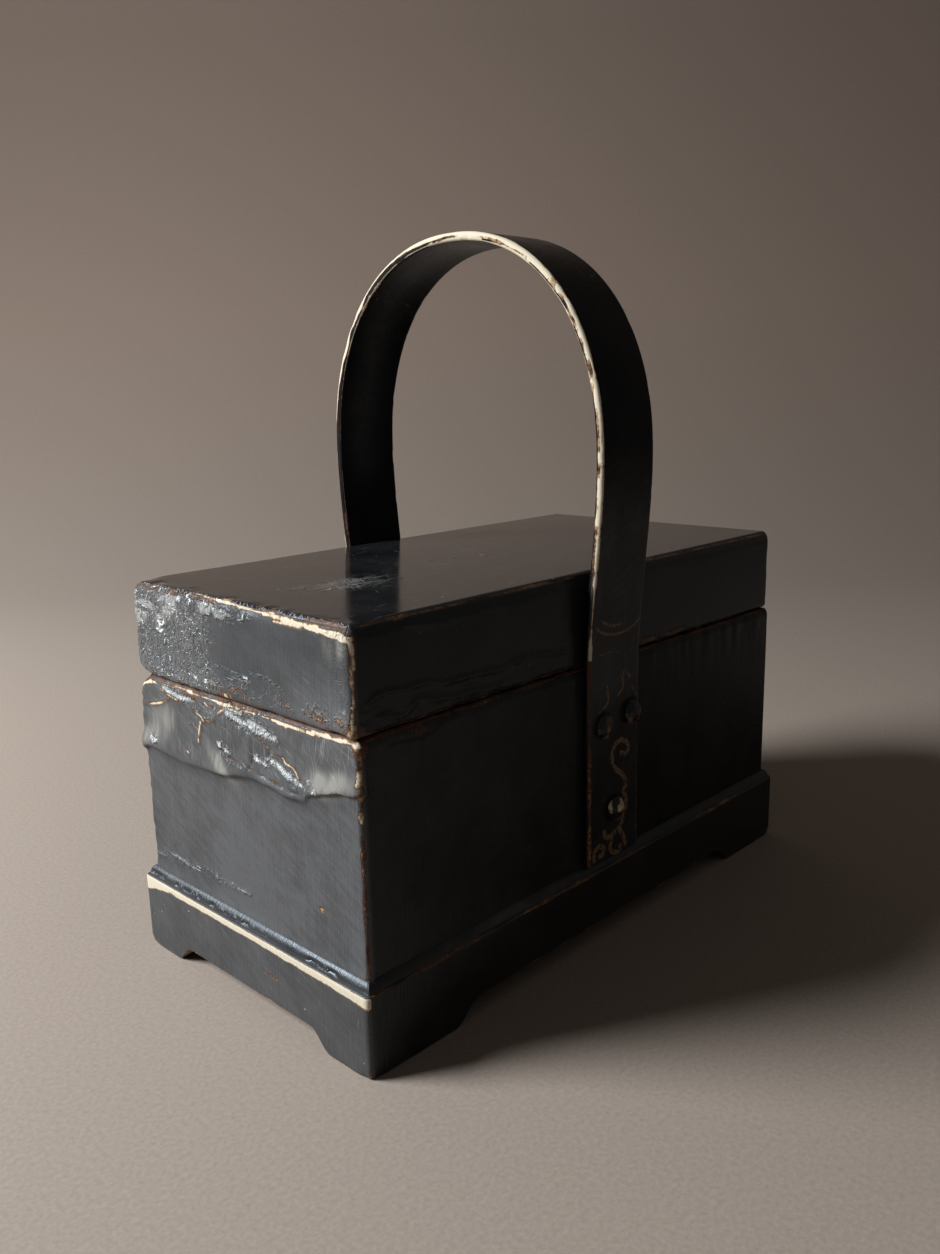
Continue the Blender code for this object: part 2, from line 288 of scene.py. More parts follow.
def stroke(flat, points, reach=20):
    """Distance of each flat point to the smooth line through the given points, up to reach."""
    line = smooth_line(points)
    distance = np.full(len(flat), float(reach))
    close = ((flat > line.min(0) - reach) & (flat < line.max(0) + reach)).all(1)
    if close.any():
        start, along = line[:-1], np.diff(line, axis=0)
        offset = flat[close][:, None, :] - start
        share = ((offset * along).sum(-1) / (along * along).sum(-1)).clip(0, 1)
        gap = np.linalg.norm(offset - share[..., None] * along, axis=-1)
        distance[close] = np.minimum(gap.min(1), reach)
    return distance


def nearest(flat, lines, reach):
    """Distance of each flat point to the nearest of several lines, up to reach."""
    return np.minimum.reduce([stroke(flat, line, reach) for line in lines])


def trace(flat, lines, width):
    """A thin mark along each line: 1 on it, down to 0 at the width."""
    return np.maximum(1 - nearest(flat, lines, 4) / width, 0)


def cells(count, crowding, arc=4):
    """The lines of a grid across a rounded rectangle, as (share, bend): share runs from -1 to 1
    over the straight stretch, denser towards its ends, and bend does over the round corners."""
    line = np.linspace(-1, 1, count + 1)
    share = (1 - crowding) * line + crowding * np.sin(line * math.pi / 2)
    curl, ends = np.arange(1, arc + 1) / arc, np.ones(arc)
    bend = np.concatenate([-curl[::-1], np.zeros(count + 1), curl])
    return np.concatenate([-ends, share, ends]), bend


X_CELLS, Y_CELLS = cells(170, 0.2), cells(176, 0.1)


def plan(half_x, half_y, radius):
    """Points of a filled rounded rectangle on a grid. Each lies on an inner rectangle by its
    share, plus the radius times its bend carried from a square to a disc of equal angles."""
    share_x, bend_x = (v[:, None] for v in X_CELLS)
    share_y, bend_y = (v[None, :] for v in Y_CELLS)
    bend_x, bend_y = np.broadcast_arrays(bend_x, bend_y)
    wide = np.abs(bend_x) > np.abs(bend_y)
    reach = np.where(wide, bend_x, bend_y)
    with np.errstate(divide="ignore", invalid="ignore"):
        lean = np.where(wide, bend_y / bend_x, bend_x / bend_y)
    angle = np.nan_to_num(lean) * math.pi / 4
    side_x = np.where(wide, np.cos(angle), np.sin(angle)) * reach
    side_y = np.where(wide, np.sin(angle), np.cos(angle)) * reach
    return np.stack([
        share_x * (half_x - radius) + side_x * radius,
        share_y * (half_y - radius) + side_y * radius,
    ], -1)


def rim_order():
    """The grid's outer points in turn, anticlockwise seen from above, as (i, j)."""
    nx, ny = len(X_CELLS[0]), len(Y_CELLS[0])
    east, north = np.arange(nx - 1), np.arange(ny - 1)
    i = np.concatenate([east, np.full(ny - 1, nx - 1), nx - 1 - east, np.zeros(ny - 1, int)])
    j = np.concatenate([np.zeros(nx - 1, int), north, np.full(nx - 1, ny - 1), ny - 1 - north])
    return i, j


def ring_stack(half_x, half_y, radius, steps, smallest=0.2):
    """Rounded rectangles carried along a profile. steps holds (inset x, inset y, height) rows,
    and the corner's radius shrinks by the inset. Gives an array of rows of points."""
    rows = []
    for inset_x, inset_y, height in steps:
        corner = max(radius - min(inset_x, inset_y), smallest)
        flat = plan(half_x - inset_x, half_y - inset_y, corner)[rim_order()]
        rows.append(np.column_stack([flat, np.full(len(flat), height)]))
    return np.array(rows)


def rings(rows, row_loop=False):
    """A stack of closed rings as its points, the faces between the rings and its two end faces."""
    count, around = rows.shape[:2]
    end = np.arange(around)
    quads = strip_quads(count, around, row_loop, column_loop=True)
    return rows.reshape(-1, 3), quads, [end, (end + (count - 1) * around)[::-1]]


def arc_steps(centre_inset, centre_height, deep, tall, start, end, count):
    """Profile steps round an oval, as (inset, height) from angle start to end in degrees, with 0
    pointing outwards and 90 up."""
    angle = np.radians(np.linspace(start, end, count + 1))
    return list(zip(centre_inset - deep * np.cos(angle), centre_height + tall * np.sin(angle)))


def line_steps(start, end, count):
    """Profile steps between two (inset, height) points, without either end."""
    share = np.linspace(0, 1, count + 1)[1:-1, None]
    return [tuple(row) for row in np.array(start) * (1 - share) + np.array(end) * share]


def sink(points, quads, depth):
    """Move each point inwards by its depth along its normal, which is the sum of the normals of
    the faces round it, made of length one."""
    a, b, c, d = (points[quads[:, n]] for n in range(4))
    face = np.cross(c - a, d - b)
    total = np.stack([
        sum(np.bincount(quads[:, n], face[:, axis], len(points)) for n in range(4))
        for axis in range(3)
    ], -1)
    length = np.maximum(np.linalg.norm(total, axis=1, keepdims=True), 1e-12)
    return points - total / length * depth[:, None]


def arris(gap, points, width, size, seed):
    """Wear along an edge: whole where the gap to the edge is small, and ending at a width that
    noise of the given size makes vary from nothing to more than twice as much."""
    reach = width * (0.9 + 1.9 * layered(points, size, 4, seed))
    return soft(reach - gap, -0.15 * width, 0.45 * width)


def face_places(points, half_x, half_y, top=math.inf):
    """Each point's place on its own face, in metres: across the way that it was brushed, along
    that way, and a number for the face. The sides were brushed upright and the top lengthwise."""
    x, y, z = points.T
    end = (half_x - np.abs(x) < half_y - np.abs(y))[:, None]
    end_places, side_places = ((y, z, 3 + np.sign(x)), (x, z, 7 + np.sign(y)))
    sides = np.where(end, np.stack(end_places, -1), np.stack(side_places, -1))
    places = np.where((z > top)[:, None], np.stack([y, x, 11 + 0 * z], -1), sides)
    return places * (MM, MM, 1)


def set_marks(piece, **marks):
    """Store each array of values, or of vectors, as an attribute of the piece's points. A mark
    that isn't given is 0 everywhere."""
    for name, values in (dict.fromkeys(MARKS, 0.0) | marks).items():
        kind, field = ("FLOAT_VECTOR", "vector") if np.ndim(values) == 2 else ("FLOAT", "value")
        if np.ndim(values) == 0:
            values = np.full(len(piece.data.vertices), values)
        attribute = piece.data.attributes.new(name, kind, "POINT")
        attribute.data.foreach_set(field, np.asarray(values, np.float32).ravel())


def calc(tree, operation, one, two, clamp=False):
    """One step of arithmetic on two sockets or numbers."""
    return first(tree, "Math", operation=operation, use_clamp=clamp, in0=one, in1=two)


def times(tree, total, *factors):
    """The product of sockets or numbers."""
    for factor in factors:
        total = calc(tree, "MULTIPLY", total, factor)
    return total


def plus(tree, total, *parts):
    """The total with each (value, share) product added."""
    for value, share in parts:
        total = calc(tree, "ADD", total, times(tree, value, share))
    return total


def mapped(tree, value, low, high, bottom=0.0, top=1.0):
    """A smoothstep of the value between low and high, carried to the range bottom to top."""
    return first(tree, "MapRange", interpolation_type="SMOOTHSTEP", Value=value,
                 From_Min=low, From_Max=high, To_Min=bottom, To_Max=top)


def cloudy(tree, place, scale, detail=2.0, **settings):
    """Smooth noise at the place."""
    return first(tree, "TexNoise", Vector=place, Scale=scale, Detail=detail, **settings)


def streaked(tree, face, seed, turn, length, fineness, **settings):
    """Noise drawn out long on the face, turned by an angle."""
    ways = first(tree, "Mapping", vector_type="TEXTURE", Vector=face, Location=(seed, seed, 0),
                 Rotation=(0, 0, turn), Scale=(1 / length, 1 / fineness, 1))
    return cloudy(tree, ways, 1.0, **settings)


def new_group(name, inputs, outputs):
    """A node group with the named sockets. Gives its tree, its inputs and its output node."""
    group = bpy.data.node_groups.new(name, "ShaderNodeTree")
    for direction, labels in (("INPUT", inputs), ("OUTPUT", outputs)):
        for label in labels:
            kind = "NodeSocket" + SOCKET_KINDS.get(label, "Float")
            group.interface.new_socket(label, in_out=direction, socket_type=kind)
    return group, group.nodes.new("NodeGroupInput").outputs, group.nodes.new("NodeGroupOutput")


def give(tree, result, **values):
    """Wire each value to the group's output of that name, and give back the group."""
    for label, value in values.items():
        tree.links.new(value, result.inputs[label])
    return tree


def wear_layers():
    """The coats under a worn spot. Worn, broken up by noise, first shows the red-brown
    undercoat, then tan wood and last pale wood. Height falls where the lacquer has gone."""
    tree, given, result = new_group(
        "wear_layers", ("Place", "Worn", "Lacquer"), ("Color", "Bare", "Height")
    )
    fine = cloudy(tree, given["Place"], 700.0, 5.0, Roughness=0.65)
    broad = cloudy(tree, given["Place"], 130.0, 3.0)
    level = times(tree, given["Worn"], plus(tree, times(tree, fine, 1.1), (broad, 0.9)))
    brown = mapped(tree, level, 0.34, 0.42)
    tan = mapped(tree, level, 0.52, 0.60)
    pale = mapped(tree, level, 0.66, 0.82)
    under = blend(tree, cloudy(tree, given["Place"], 260.0), UNDERCOAT, UNDERCOAT_LIGHT)
    colour = blend(tree, brown, given["Lacquer"], under)
    colour = blend(tree, tan, colour, TAN_WOOD)
    colour = blend(tree, pale, colour, PALE_WOOD)
    gone = calc(tree, "ADD", brown, tan)
    return give(tree, result, Color=colour, Bare=times(tree, gone, 0.5), Height=times(tree, gone, -0.5))


def hairlines():
    """Fine scratches: noise drawn out long in three ways on the face, kept only where it peaks.
    Scuff, from 0 to 1, lets more of them show."""
    tree, given, result = new_group("hairlines", ("Face", "Scuff"), ("Lines",))
    cut = mapped(tree, given["Scuff"], 0.0, 1.0, 0.82, 0.58)
    lines = 0.0
    for turn, seed in ((0.45, 0.0), (1.38, 3.1), (1.78, 5.7)):
        excess = calc(tree, "SUBTRACT", streaked(tree, given["Face"], seed, turn, 60, 2400, detail=1.0), cut)
        lines = calc(tree, "MAXIMUM", calc(tree, "MULTIPLY", excess, 14.0, clamp=True), lines)
    return give(tree, result, Lines=lines)


def wiping():
    """The streaks left by wiping a face, leaning a little across it, from 0 to 1."""
    tree, given, result = new_group("wiping", ("Face",), ("Streak",))
    streak = 0.0
    for turn, fineness, share in ((0.42, 420, 0.6), (0.62, 1100, 0.4)):
        drawn = streaked(tree, given["Face"], 0, turn, 70, fineness, detail=3.0, Distortion=0.4)
        streak = calc(tree, "ADD", times(tree, drawn, share), streak)
    return give(tree, result, Streak=mapped(tree, streak, 0.36, 0.64))


def dust_specks():
    """Small pale dots, one in some of the cells of a fine cell pattern."""
    tree, given, result = new_group("dust_specks", ("Place",), ("Dots",))
    cell = add(tree, "TexVoronoi", Vector=given["Place"], Scale=300.0).outputs
    pick = first(tree, "SeparateColor", Color=cell["Color"])
    size = mapped(tree, pick, 0.95, 1.0, 0.0, 0.13)
    return give(tree, result, Dots=calc(tree, "GREATER_THAN", size, cell["Distance"]))


def brush_marks():
    """Brush streaks along the face with a finer grain over them, as heights round 0."""
    tree, given, result = new_group("brush_marks", ("Face", "Place"), ("Height",))
    ways = first(tree, "Mapping", Vector=given["Face"], Scale=(900.0, 50.0, 1.0))
    streaks = cloudy(tree, ways, 1.0, 3.0, Roughness=0.6)
    height = plus(tree, streaks, (cloudy(tree, given["Place"], 1500.0), 0.5))
    return give(tree, result, Height=calc(tree, "SUBTRACT", height, 0.75))


def crazing():
    """Wrinkled, crazed lacquer: ridged noise on a warped place, and cell edges over it.
    Pale is strong on the ridges, a painted glint where they would catch the lamp."""
    tree, given, result = new_group("crazing", ("Place",), ("Height", "Pale"))
    warp = add(tree, "TexNoise", Vector=given["Place"], Scale=140.0, Detail=2.0).outputs["Color"]
    moved = first(tree, "VectorMath", operation="MULTIPLY_ADD", in0=warp,
                  in1=(0.008, 0.014, 0.020), in2=given["Place"])
    ways = first(tree, "Mapping", Vector=moved, Scale=(1.0, 0.75, 1.15))
    ridges = cloudy(tree, ways, 260.0, 3.0, noise_type="RIDGED_MULTIFRACTAL", normalize=True,
                    Roughness=0.5, Lacunarity=2.1)
    cell = first(tree, "TexVoronoi", feature="DISTANCE_TO_EDGE", Vector=ways, Scale=330.0)
    height = plus(tree, ridges, (mapped(tree, cell, 0.0, 0.16, 1.0, 0.0), 0.2))
    return give(tree, result, Height=height, Pale=mapped(tree, height, 0.36, 0.64))


FINISHES = (wear_layers, hairlines, wiping, dust_specks, brush_marks, crazing)
GROUPS = {make.__name__: make() for make in FINISHES}


def lacquer_finish(name, tone, pale_tone, dull, bright, sheen, gilt_tone=None):
    """Old black lacquer. tone and pale_tone are its colours where it is sound and where it has
    gone silvery, pale_tone also painting glints, dull and bright its roughness away from and on the
    glossy places, and sheen how strongly it reflects. The piece's marks say where: worn,
    frost for silvery lacquer and painted glints, gloss, scuff for scratches,
    film for a grey wiped coat laid on lit faces as painted sheen, satin for
    painted soft highlights, and gilt for painted gold."""
    material, tree, place = new_material(name)
    labels = MARKS + (("gilt",) if gilt_tone else ())
    mark = {label: add(tree, "Attribute", attribute_name=label).outputs["Fac"] for label in labels}
    face = add(tree, "Attribute", attribute_name="face").outputs["Vector"]

    def effect(group, **inputs):
        return add(tree, "Group", node_tree=GROUPS[group], **inputs).outputs

    craze = effect("crazing", Place=place)
    brush = effect("brush_marks", Face=face, Place=place)["Height"]
    lines = effect("hairlines", Face=face, Scuff=mark["scuff"])["Lines"]
    wipe = effect("wiping", Face=face)["Streak"]
    dots = effect("dust_specks", Place=place)["Dots"]
    cloud = cloudy(tree, place, 38.0, 5.0, Roughness=0.6)
    dark, light = (tuple(v * share for v in tone) for share in (0.7, 1.3))
    colour = blend(tree, mapped(tree, cloud, 0.3, 0.7), dark, light)
    # A grey wiped coat, laid on lit faces as painted sheen, then pale painted highlights.
    film = times(tree, mark["film"], mapped(tree, wipe, 0.0, 1.0, 0.80, 1.0),
                 mapped(tree, cloud, 0.25, 0.75, 0.62, 1.04), mapped(tree, brush, -0.3, 0.3, 0.86, 1.1))
    colour = blend(tree, film, colour, FILM_AND_SHEEN_TONE)
    # Pale painted highlights where the satin mark is.
    colour = blend(tree, calc(tree, "MULTIPLY", mark["satin"], 0.46, clamp=True), colour, PAINTED_GLOW_TONE)
    # Silvery lacquer with painted glints: pale on the crazing's ridges, and solid pale where frost passes 1.
    silver = times(tree, mark["frost"], mapped(tree, craze["Pale"], 0.0, 1.0, 0.03, 1.0))
    silver = calc(tree, "MAXIMUM", silver, calc(tree, "SUBTRACT", mark["frost"], 1.0), clamp=True)
    colour = blend(tree, silver, colour, pale_tone)
    drawn = times(tree, lines, mapped(tree, mark["scuff"], 0.1, 0.8, 0.16, 0.70))
    dusty = times(tree, dots, mapped(tree, mark["scuff"], 0.1, 0.6, 0.12, 0.8))
    colour = blend(tree, calc(tree, "MAXIMUM", drawn, dusty), colour, SCRATCH_TONE)
    if gilt_tone:
        near = mapped(tree, mark["gilt"], 0.7, 1.1, 1.0, 0.0)
        gold = times(tree, near, mapped(tree, cloudy(tree, place, 900.0, 3.0), 0.36, 0.56))
        colour = blend(tree, gold, colour, gilt_tone)
    wear = effect("wear_layers", Place=place, Worn=mark["worn"], Lacquer=colour)
    rough = first(tree, "Mix", in0=mark["gloss"], in2=dull, in3=bright)
    rough = calc(tree, "ADD", rough, mapped(tree, cloud, 0.3, 0.7, -0.05, 0.06))
    rough = plus(tree, rough, (film, -0.10))
    rough = calc(tree, "ADD", rough, times(tree, wear["Bare"], 0.5), clamp=True)
    height = plus(
        tree, times(tree, brush, mapped(tree, mark["gloss"], 0.55, 1.0, 0.18, 0.035)),
        (lines, -0.03), (times(tree, wipe, mark["film"]), 0.03),
        (wear["Height"], 0.25), (times(tree, craze["Height"], mark["frost"]), 1.5),
    )
    normal = first(tree, "Bump", Strength=1.0, Distance=MM, Height=height)
    coat = mapped(tree, mark["gloss"], 0.8, 1.0, 0.0, 0.35)
    shader = first(tree, "BsdfPrincipled", Base_Color=wear["Color"], Roughness=rough, Normal=normal,
                   Specular_IOR_Level=sheen, Specular_Tint=COOL_TINT, Coat_Weight=coat, Coat_Roughness=0.10)
    add(tree, "OutputMaterial", Surface=shader)
    return material


def box_corners(name):
    """A solid's lowest and highest corner, each as (x, y, z)."""
    return np.array(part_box(name)) / MM


plinth_half_x, plinth_half_y, bead_top = box_corners("plinth")[1]


def arch_height(along, half_length, foot, sweep, clearance):
    """Height of the board's lower edge: 0 under a foot, then an S-curve up to the clearance."""
    share = np.clip((half_length - foot - np.abs(along)) / sweep, 0, 1)
    return clearance * (1 - np.cos(math.pi * share)) / 2


def plinth_steps():
    """The section of the frame: down over the bead's round, along the ledge, down the face,
    under, up inside and along the seat, as (inset, height)."""
    crown, inner = LEDGE_END + 0.3, LEDGE_END + SEAT_WIDTH
    turn = np.radians(np.linspace(90, 4, 11))
    flatter = 1.3
    steps = list(zip(
        crown - BEAD_WIDTH * np.cos(turn).clip(0, 1) ** flatter,
        PLINTH_TOP + (bead_top - PLINTH_TOP) * np.sin(turn) ** flatter,
    ))
    steps += arc_steps(PLINTH_EDGE, PLINTH_TOP - 1.4 * PLINTH_EDGE, PLINTH_EDGE, 1.4 * PLINTH_EDGE, 90, 0, 5)
    steps += line_steps(steps[-1], (0.0, 0.6), 32)
    steps += [(0.0, 0.6), (0.6, 0.0), (6.0, 0.0), (inner - 0.4, 0.0), (inner, 0.4)]
    steps += line_steps(steps[-1], (inner, PLINTH_TOP), 5)
    return steps + [(inner, PLINTH_TOP), (crown + 1.5, PLINTH_TOP)]


side_shift = LEDGE_END - LEDGE_SIDE
steps = [
    (inset, inset - side_shift * soft(inset, PLINTH_EDGE, LEDGE_END - BEAD_WIDTH), height)
    for inset, height in plinth_steps()
]
rows = ring_stack(plinth_half_x, plinth_half_y, PLINTH_RADIUS, steps)
board = LEDGE_END + SEAT_WIDTH + 1.0
on_side = plinth_half_y - np.abs(rows[..., 1]) < board
on_end = (plinth_half_x - np.abs(rows[..., 0]) < board) & ~on_side
lift = on_side * arch_height(rows[..., 0], plinth_half_x, SIDE_FOOT, SIDE_SWEEP, SIDE_CLEARANCE)
lift += on_end * arch_height(rows[..., 1], plinth_half_y, END_FOOT, END_SWEEP, END_CLEARANCE)
rows[..., 2] += lift * (1 - rows[..., 2] / PLINTH_TOP).clip(0, 1)
points, quads, _ = rings(rows, row_loop=True)
x, y, z = points.T
corner_gap = np.hypot(plinth_half_x - np.abs(x), plinth_half_y - np.abs(y))
west = soft(-x, plinth_half_x - 2.6, plinth_half_x - 1.2)
on_bead = soft(z, PLINTH_TOP + 0.2, PLINTH_TOP + 1.0)
patch = layered(points, 11, 3, 1)
chipped = layered(points * (1, 1, 0.4), 9, 2, 4) + 0.2 * soft(np.abs(y - 5), 30, 60)
crusty = on_bead * west * (soft(y, -15, -11) + soft(-y, 40, 43) * soft(y, -62, -56))
lumps = noise(points * (0.3, 1, 0.3), 3.6, 61)
depth = 0.10 * layered(points, 16, 2, 2)
depth += on_bead * (0.7 * soft(chipped, 0.30, 0.40) * west + 0.3 * layered(points, 14, 2, 7))
depth += crusty * (1.3 * soft(-lumps, 0.0, 0.25) + 0.2 * layered(points, 2.2, 2, 62))
depth += 0.9 * soft(-z, -5, 0) * soft(-corner_gap, -9, -1)
depth += 0.35 * soft(patch, 0.15, 0.6) * bump(z, PLINTH_TOP, 1.4)
band_low = follow(y, BAND_LOW)
band = west * soft(z + 0.6 * layered(points, 6, 3, 5), band_low - 0.5, band_low + 1.0)
band *= soft(-z, -PLINTH_TOP, -PLINTH_TOP + 0.8)
side_band = arris(np.abs(z - PLINTH_TOP + 0.4), points, 0.6, 14, 8) * (1 - on_bead) * (1 - west)
foot_edge = soft(-z + lift.ravel(), -2.0, -0.3) * soft(patch, -0.3, 0.3)
corner_line = arris(beyond(corner_gap, 0.8), points, 0.6, 8, 9) * (z < PLINTH_TOP)
scuffs = west * bump(stroke(points[:, 1:], PLINTH_SCUFF), 0, 1.0)
points = sink(points, quads, np.maximum(depth, 0))
plinth = mesh_piece("plinth_frame", points, quads)
set_marks(
    plinth,
    worn=most(
        1.12 * band, 0.50 * side_band, 0.62 * foot_edge, 0.6 * corner_line, 0.55 * scuffs,
        0.44 * crusty * soft(-lumps, 0.2, 0.35),
    ),
    # Frosted specks on the bead's crust, standing also as painted glints on its lumps.
    frost=1.9 * crusty * soft(noise(points * (0.5, 1, 0.5), 2.4, 63), 0.25, 0.4),
    gloss=most(0.9 * on_bead * west, 0.3 * (1 - west)),
    scuff=0.10 + 0.28 * west,
    # Grey wiped coat on the lit end, which is painted sheen there, weaker on the ledge.
    film=0.77 * west * np.where(z < PLINTH_TOP - 0.5, 1, 0.7) * (1 - on_bead),
    # Painted highlight: pale streaks along the bead on the long side, towards the lit end.
    satin=0.3 * on_bead * (y < 0) * bump(x, -68, 38) * soft(layered(points, 6, 3, 64), -0.7, 0.7),
    face=face_places(points, plinth_half_x, plinth_half_y),
)
plinth.data.materials.append(lacquer_finish(
    "plinth_lacquer_old", tone=(0.012, 0.012, 0.0125), pale_tone=(0.45, 0.47, 0.48),
    dull=0.48, bright=0.13, sheen=0.40,
))
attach(plinth, "root")
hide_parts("plinth")

# The box: four boards and a floor under one coat of lacquer, hollow, with a tongue inside the rim.
# On the lit end the lacquer has come loose below the joint and hangs in a glossy, torn wave.
# Lines on it are (across, up) places. Painted highlight spots are (across, up, half as wide, half as tall,
# lean).
BODY_RADIUS, RIM_DEEP, RIM_TALL, TORN_FOOT = 2.2, 2.6, 4.2, 94
WALL, FLOOR_BOARD, TONGUE, TONGUE_HEIGHT = 9.0, 8.0, 4.2, 5.5
CORNER_WIDE, CORNER_TALL = 15, 8.5
WAVE_CREST = (
    (-76, 112), (-70, 111), (-56, 108), (-46, 105), (-42, 101.5), (-31, 101.8), (-22, 102.4),
    (-12, 103), (-3, 102), (10, 100), (26, 98.5), (43, 98), (60, 99), (70, 99.5), (76, 96),
)
WAVE_SWELL = (
    (-76, 1.6), (-60, 2.3), (-47, 1.4), (-42, 0.8), (-37, 2.0), (-20, 2.3), (-9, 1.6), (-3, 2.2),
    (14, 2.5), (26, 1.3), (45, 1.0), (58, 1.8), (67, 2.3), (76, 1.6),
)
RAISED_LINES = (
    ((71, 118), (65, 118.6), (58, 120.1), (52, 122.5), (49, 125)),
    ((56, 127), (49, 125.3), (41, 124), (36, 122.8), (31, 122.7), (27, 121.4), (23, 119.4)),
    ((24, 119), (17, 120.5), (14, 123.1), (11, 125.2), (8, 127)),
    ((26, 118), (27, 115.2), (28, 112), (29, 108.5)),
    ((-23, 115.1), (-30, 115.4), (-32, 113.5), (-37, 112.8), (-40, 109)),
    ((39, 103.2), (36, 102.3)), ((22, 127.2), (19, 126), (15.5, 127)),
    ((-16, 121), (-19, 118.7), (-22, 116.8)),
)
OPEN_CRACKS = (
    ((11, 129), (8, 127), (4, 126.4), (3, 123.3), (-1, 122.3), (-7, 121.4), (-10, 120), (-10, 113),
     (-9.4, 107)),
    ((-22, 116.8), (-21, 114.3), (-20, 112.8)), ((12, 108.6), (7, 106.6), (2, 106.6), (-4, 106)),
    ((-8, 105.9), (-16, 105.4), (-24, 104.6), (-33, 103.6), (-40, 103)),
)
# Pale patches on the wave: frosted lacquer and painted glints where its folds catch the lamp.
WHITE_GLINT_PATCHES = (
    ((-13, 111), (-19, 109.8), (-24, 112), (-31, 109.3), (-37, 108), (-43, 105.5)),
    ((-45, 109), (-50, 106.5)), ((14.5, 111.6), (11, 109.6), (6.5, 109.1)),
    ((66, 103.6), (62, 102.4)), ((33, 115), (32.6, 114.8)),
)
# Painted highlights: soft pale spots where the wave's folds catch the lamp.
PAINTED_GLOW_SPOTS = (
    (66, 104.5, 9, 5, 0.2), (13, 103, 12, 3, -0.55), (-62, 112.5, 11, 4, 0.25),
    (-52, 110, 7, 4, -0.3), (58, 113, 10, 6, 0.3),
)
PALE_LINES = (((73, 45.6), (50, 46.8), (25, 47.9), (-1, 48.9)), ((66, 48.2), (40, 49.2), (22, 50)))
LACE = (
    ((6, 126), (-4, 124.2), (-14, 122.6), (-26, 121.6)), ((6, 126), (-6, 122.8)),
    ((-9, 125.4), (-20, 123.4)), ((54, 127.5), (40, 125.8), (30, 127)), ((8, 128.4), (-4, 128)),
)
CHIP_LINE = (
    (-134, 131), (-131, 126), (-117, 125), (-107.6, 125.4), (-103.6, 128.7), (-96.7, 129.2), (-93, 131),
)
SPECK_ACROSS, SPECK_UP, SPECK_RADIUS = -49.1, 58.9, 1.6

(_, _, body_foot), (half_x, half_y, tongue_top) = box_corners("box_body")
rim = tongue_top - TONGUE_HEIGHT
tongue_face, inside_floor = WALL - TONGUE, body_foot + FLOOR_BOARD
steps = [(WALL, inside_floor)]
steps += line_steps((WALL, inside_floor), (WALL, tongue_top - 0.5), 4)
steps += [(WALL, tongue_top - 0.5), (WALL - 0.5, tongue_top)]
steps += [(tongue_face + 0.5, tongue_top), (tongue_face, tongue_top - 0.5), (tongue_face, rim)]
steps += arc_steps(RIM_DEEP, rim - RIM_TALL, RIM_DEEP, RIM_TALL, 90, 0, 9)
steps += line_steps((0.0, rim - RIM_TALL), (0.0, TORN_FOOT), 50)
steps += line_steps((0.0, TORN_FOOT), (0.0, body_foot + 0.6), 40)
steps += [(0.0, body_foot + 0.6), (0.6, body_foot)]
steps = [(inset, inset, height) for inset, height in steps]
points, quads, caps = rings(ring_stack(half_x, half_y, BODY_RADIUS, steps))


def box_places(points, half_x, half_y):
    """How much each point belongs to the lit end and to the long side in front, whether it is on
    the outside at all, and how far it is from the nearest upright edge."""
    x, y, _ = points.T
    west = soft(-x, half_x - 3.5, half_x - 1.5)
    south = soft(-y, half_y - 3.5, half_y - 1.5) * (1 - west)
    skin = (np.abs(x) > half_x - 3.6) | (np.abs(y) > half_y - 3.6)
    gap = np.hypot(half_x - np.abs(x), half_y - np.abs(y))
    return west, south, skin, gap


def spot(flat, centre_across, centre_up, half_across, half_up, lean):
    """A soft oval spot on a face, its long way leaning by an angle."""
    across, up = flat[:, 0] - centre_across, flat[:, 1] - centre_up
    along = across * math.cos(lean) - up * math.sin(lean)
    over = across * math.sin(lean) + up * math.cos(lean)
    return np.exp(-np.abs(along / half_across) ** 2.4 - np.abs(over / half_up) ** 2.4)


def corner_loss(points, half_x, half_y, wide):
    """How much the far corner of the lit end has lost in height: a quarter of an oval across the
    end, fading out along the side."""
    x, y, _ = points.T
    share = np.clip((y - half_y + wide) / wide, 0, 1)
    return soft(-x, half_x - 16, half_x - 3) * CORNER_TALL * (1 - np.sqrt(1 - 0.97 * share**2))


def lumpy_corner(points, corner, fine):
    """A knob of lacquer round one corner: how much each point is on it, and the points moved."""
    lump = bump(np.linalg.norm(points - corner, axis=1), 0, 7.5)
    return lump, points + (0.5 * lump * (1 + 1.6 * fine))[:, None] * (-0.7, -0.7, 0)


x, y, z = points.T
west, south, skin, corner_gap = box_places(points, half_x, half_y)
end_face = points[:, 1:]
fine, broad = layered(points, 6, 3, 11), layered(points, 19, 3, 12)
above = z - follow(y, WAVE_CREST) - 0.7 * noise(points, 8, 13)
loose = west * soft(above, 0, 3)
wave = np.where(above > 0, bump(above, 0, 5.2), bump(above, 0, np.where(y < -44, 0.8, 1.7)))
swell = west * wave * follow(y, WAVE_SWELL)
swell += loose * (0.2 + 0.5 * layered(points * (1, 1, 0.6), 9, 2, 14))
swell += wave * loose * 0.35 * layered(points * (1, 1, 0.2), 2.8, 2, 35)
blister = west * soft(z, 117, 121) * soft(y, -28, -22) * soft(-y, -40, -30)
swell += west * (0.5 * trace(end_face, RAISED_LINES, 1.5) - 0.7 * trace(end_face, OPEN_CRACKS, 1.3))
swell += blister * 0.3 * ridged(points, 4, 2, 15)
filler = west * soft(-z, -41, -38.8)
swell += 0.5 * filler + 0.2 * west * trace(end_face, PALE_LINES, 2.4)
drips = south * soft(z, 104, 126) * soft(x, -130, -110)
swell += 0.36 * drips * layered(points * (1, 1, 0.14), 3.0, 2, 16)
swell += 0.10 * broad + 0.03 * fine
chip_line = follow(x, CHIP_LINE)
chip = south * soft(z + 0.6 * noise(points, 3, 17), chip_line, chip_line + 0.5)
edge_chip = soft(layered(points, 9, 3, 18), 0.12, 0.5)
rim_gap = rim - z
swell += 0.45 * bump(corner_gap, 0, 2.0) * noise(points * (0.4, 0.4, 1), 3.4, 39) * soft(-x, 0, 100)
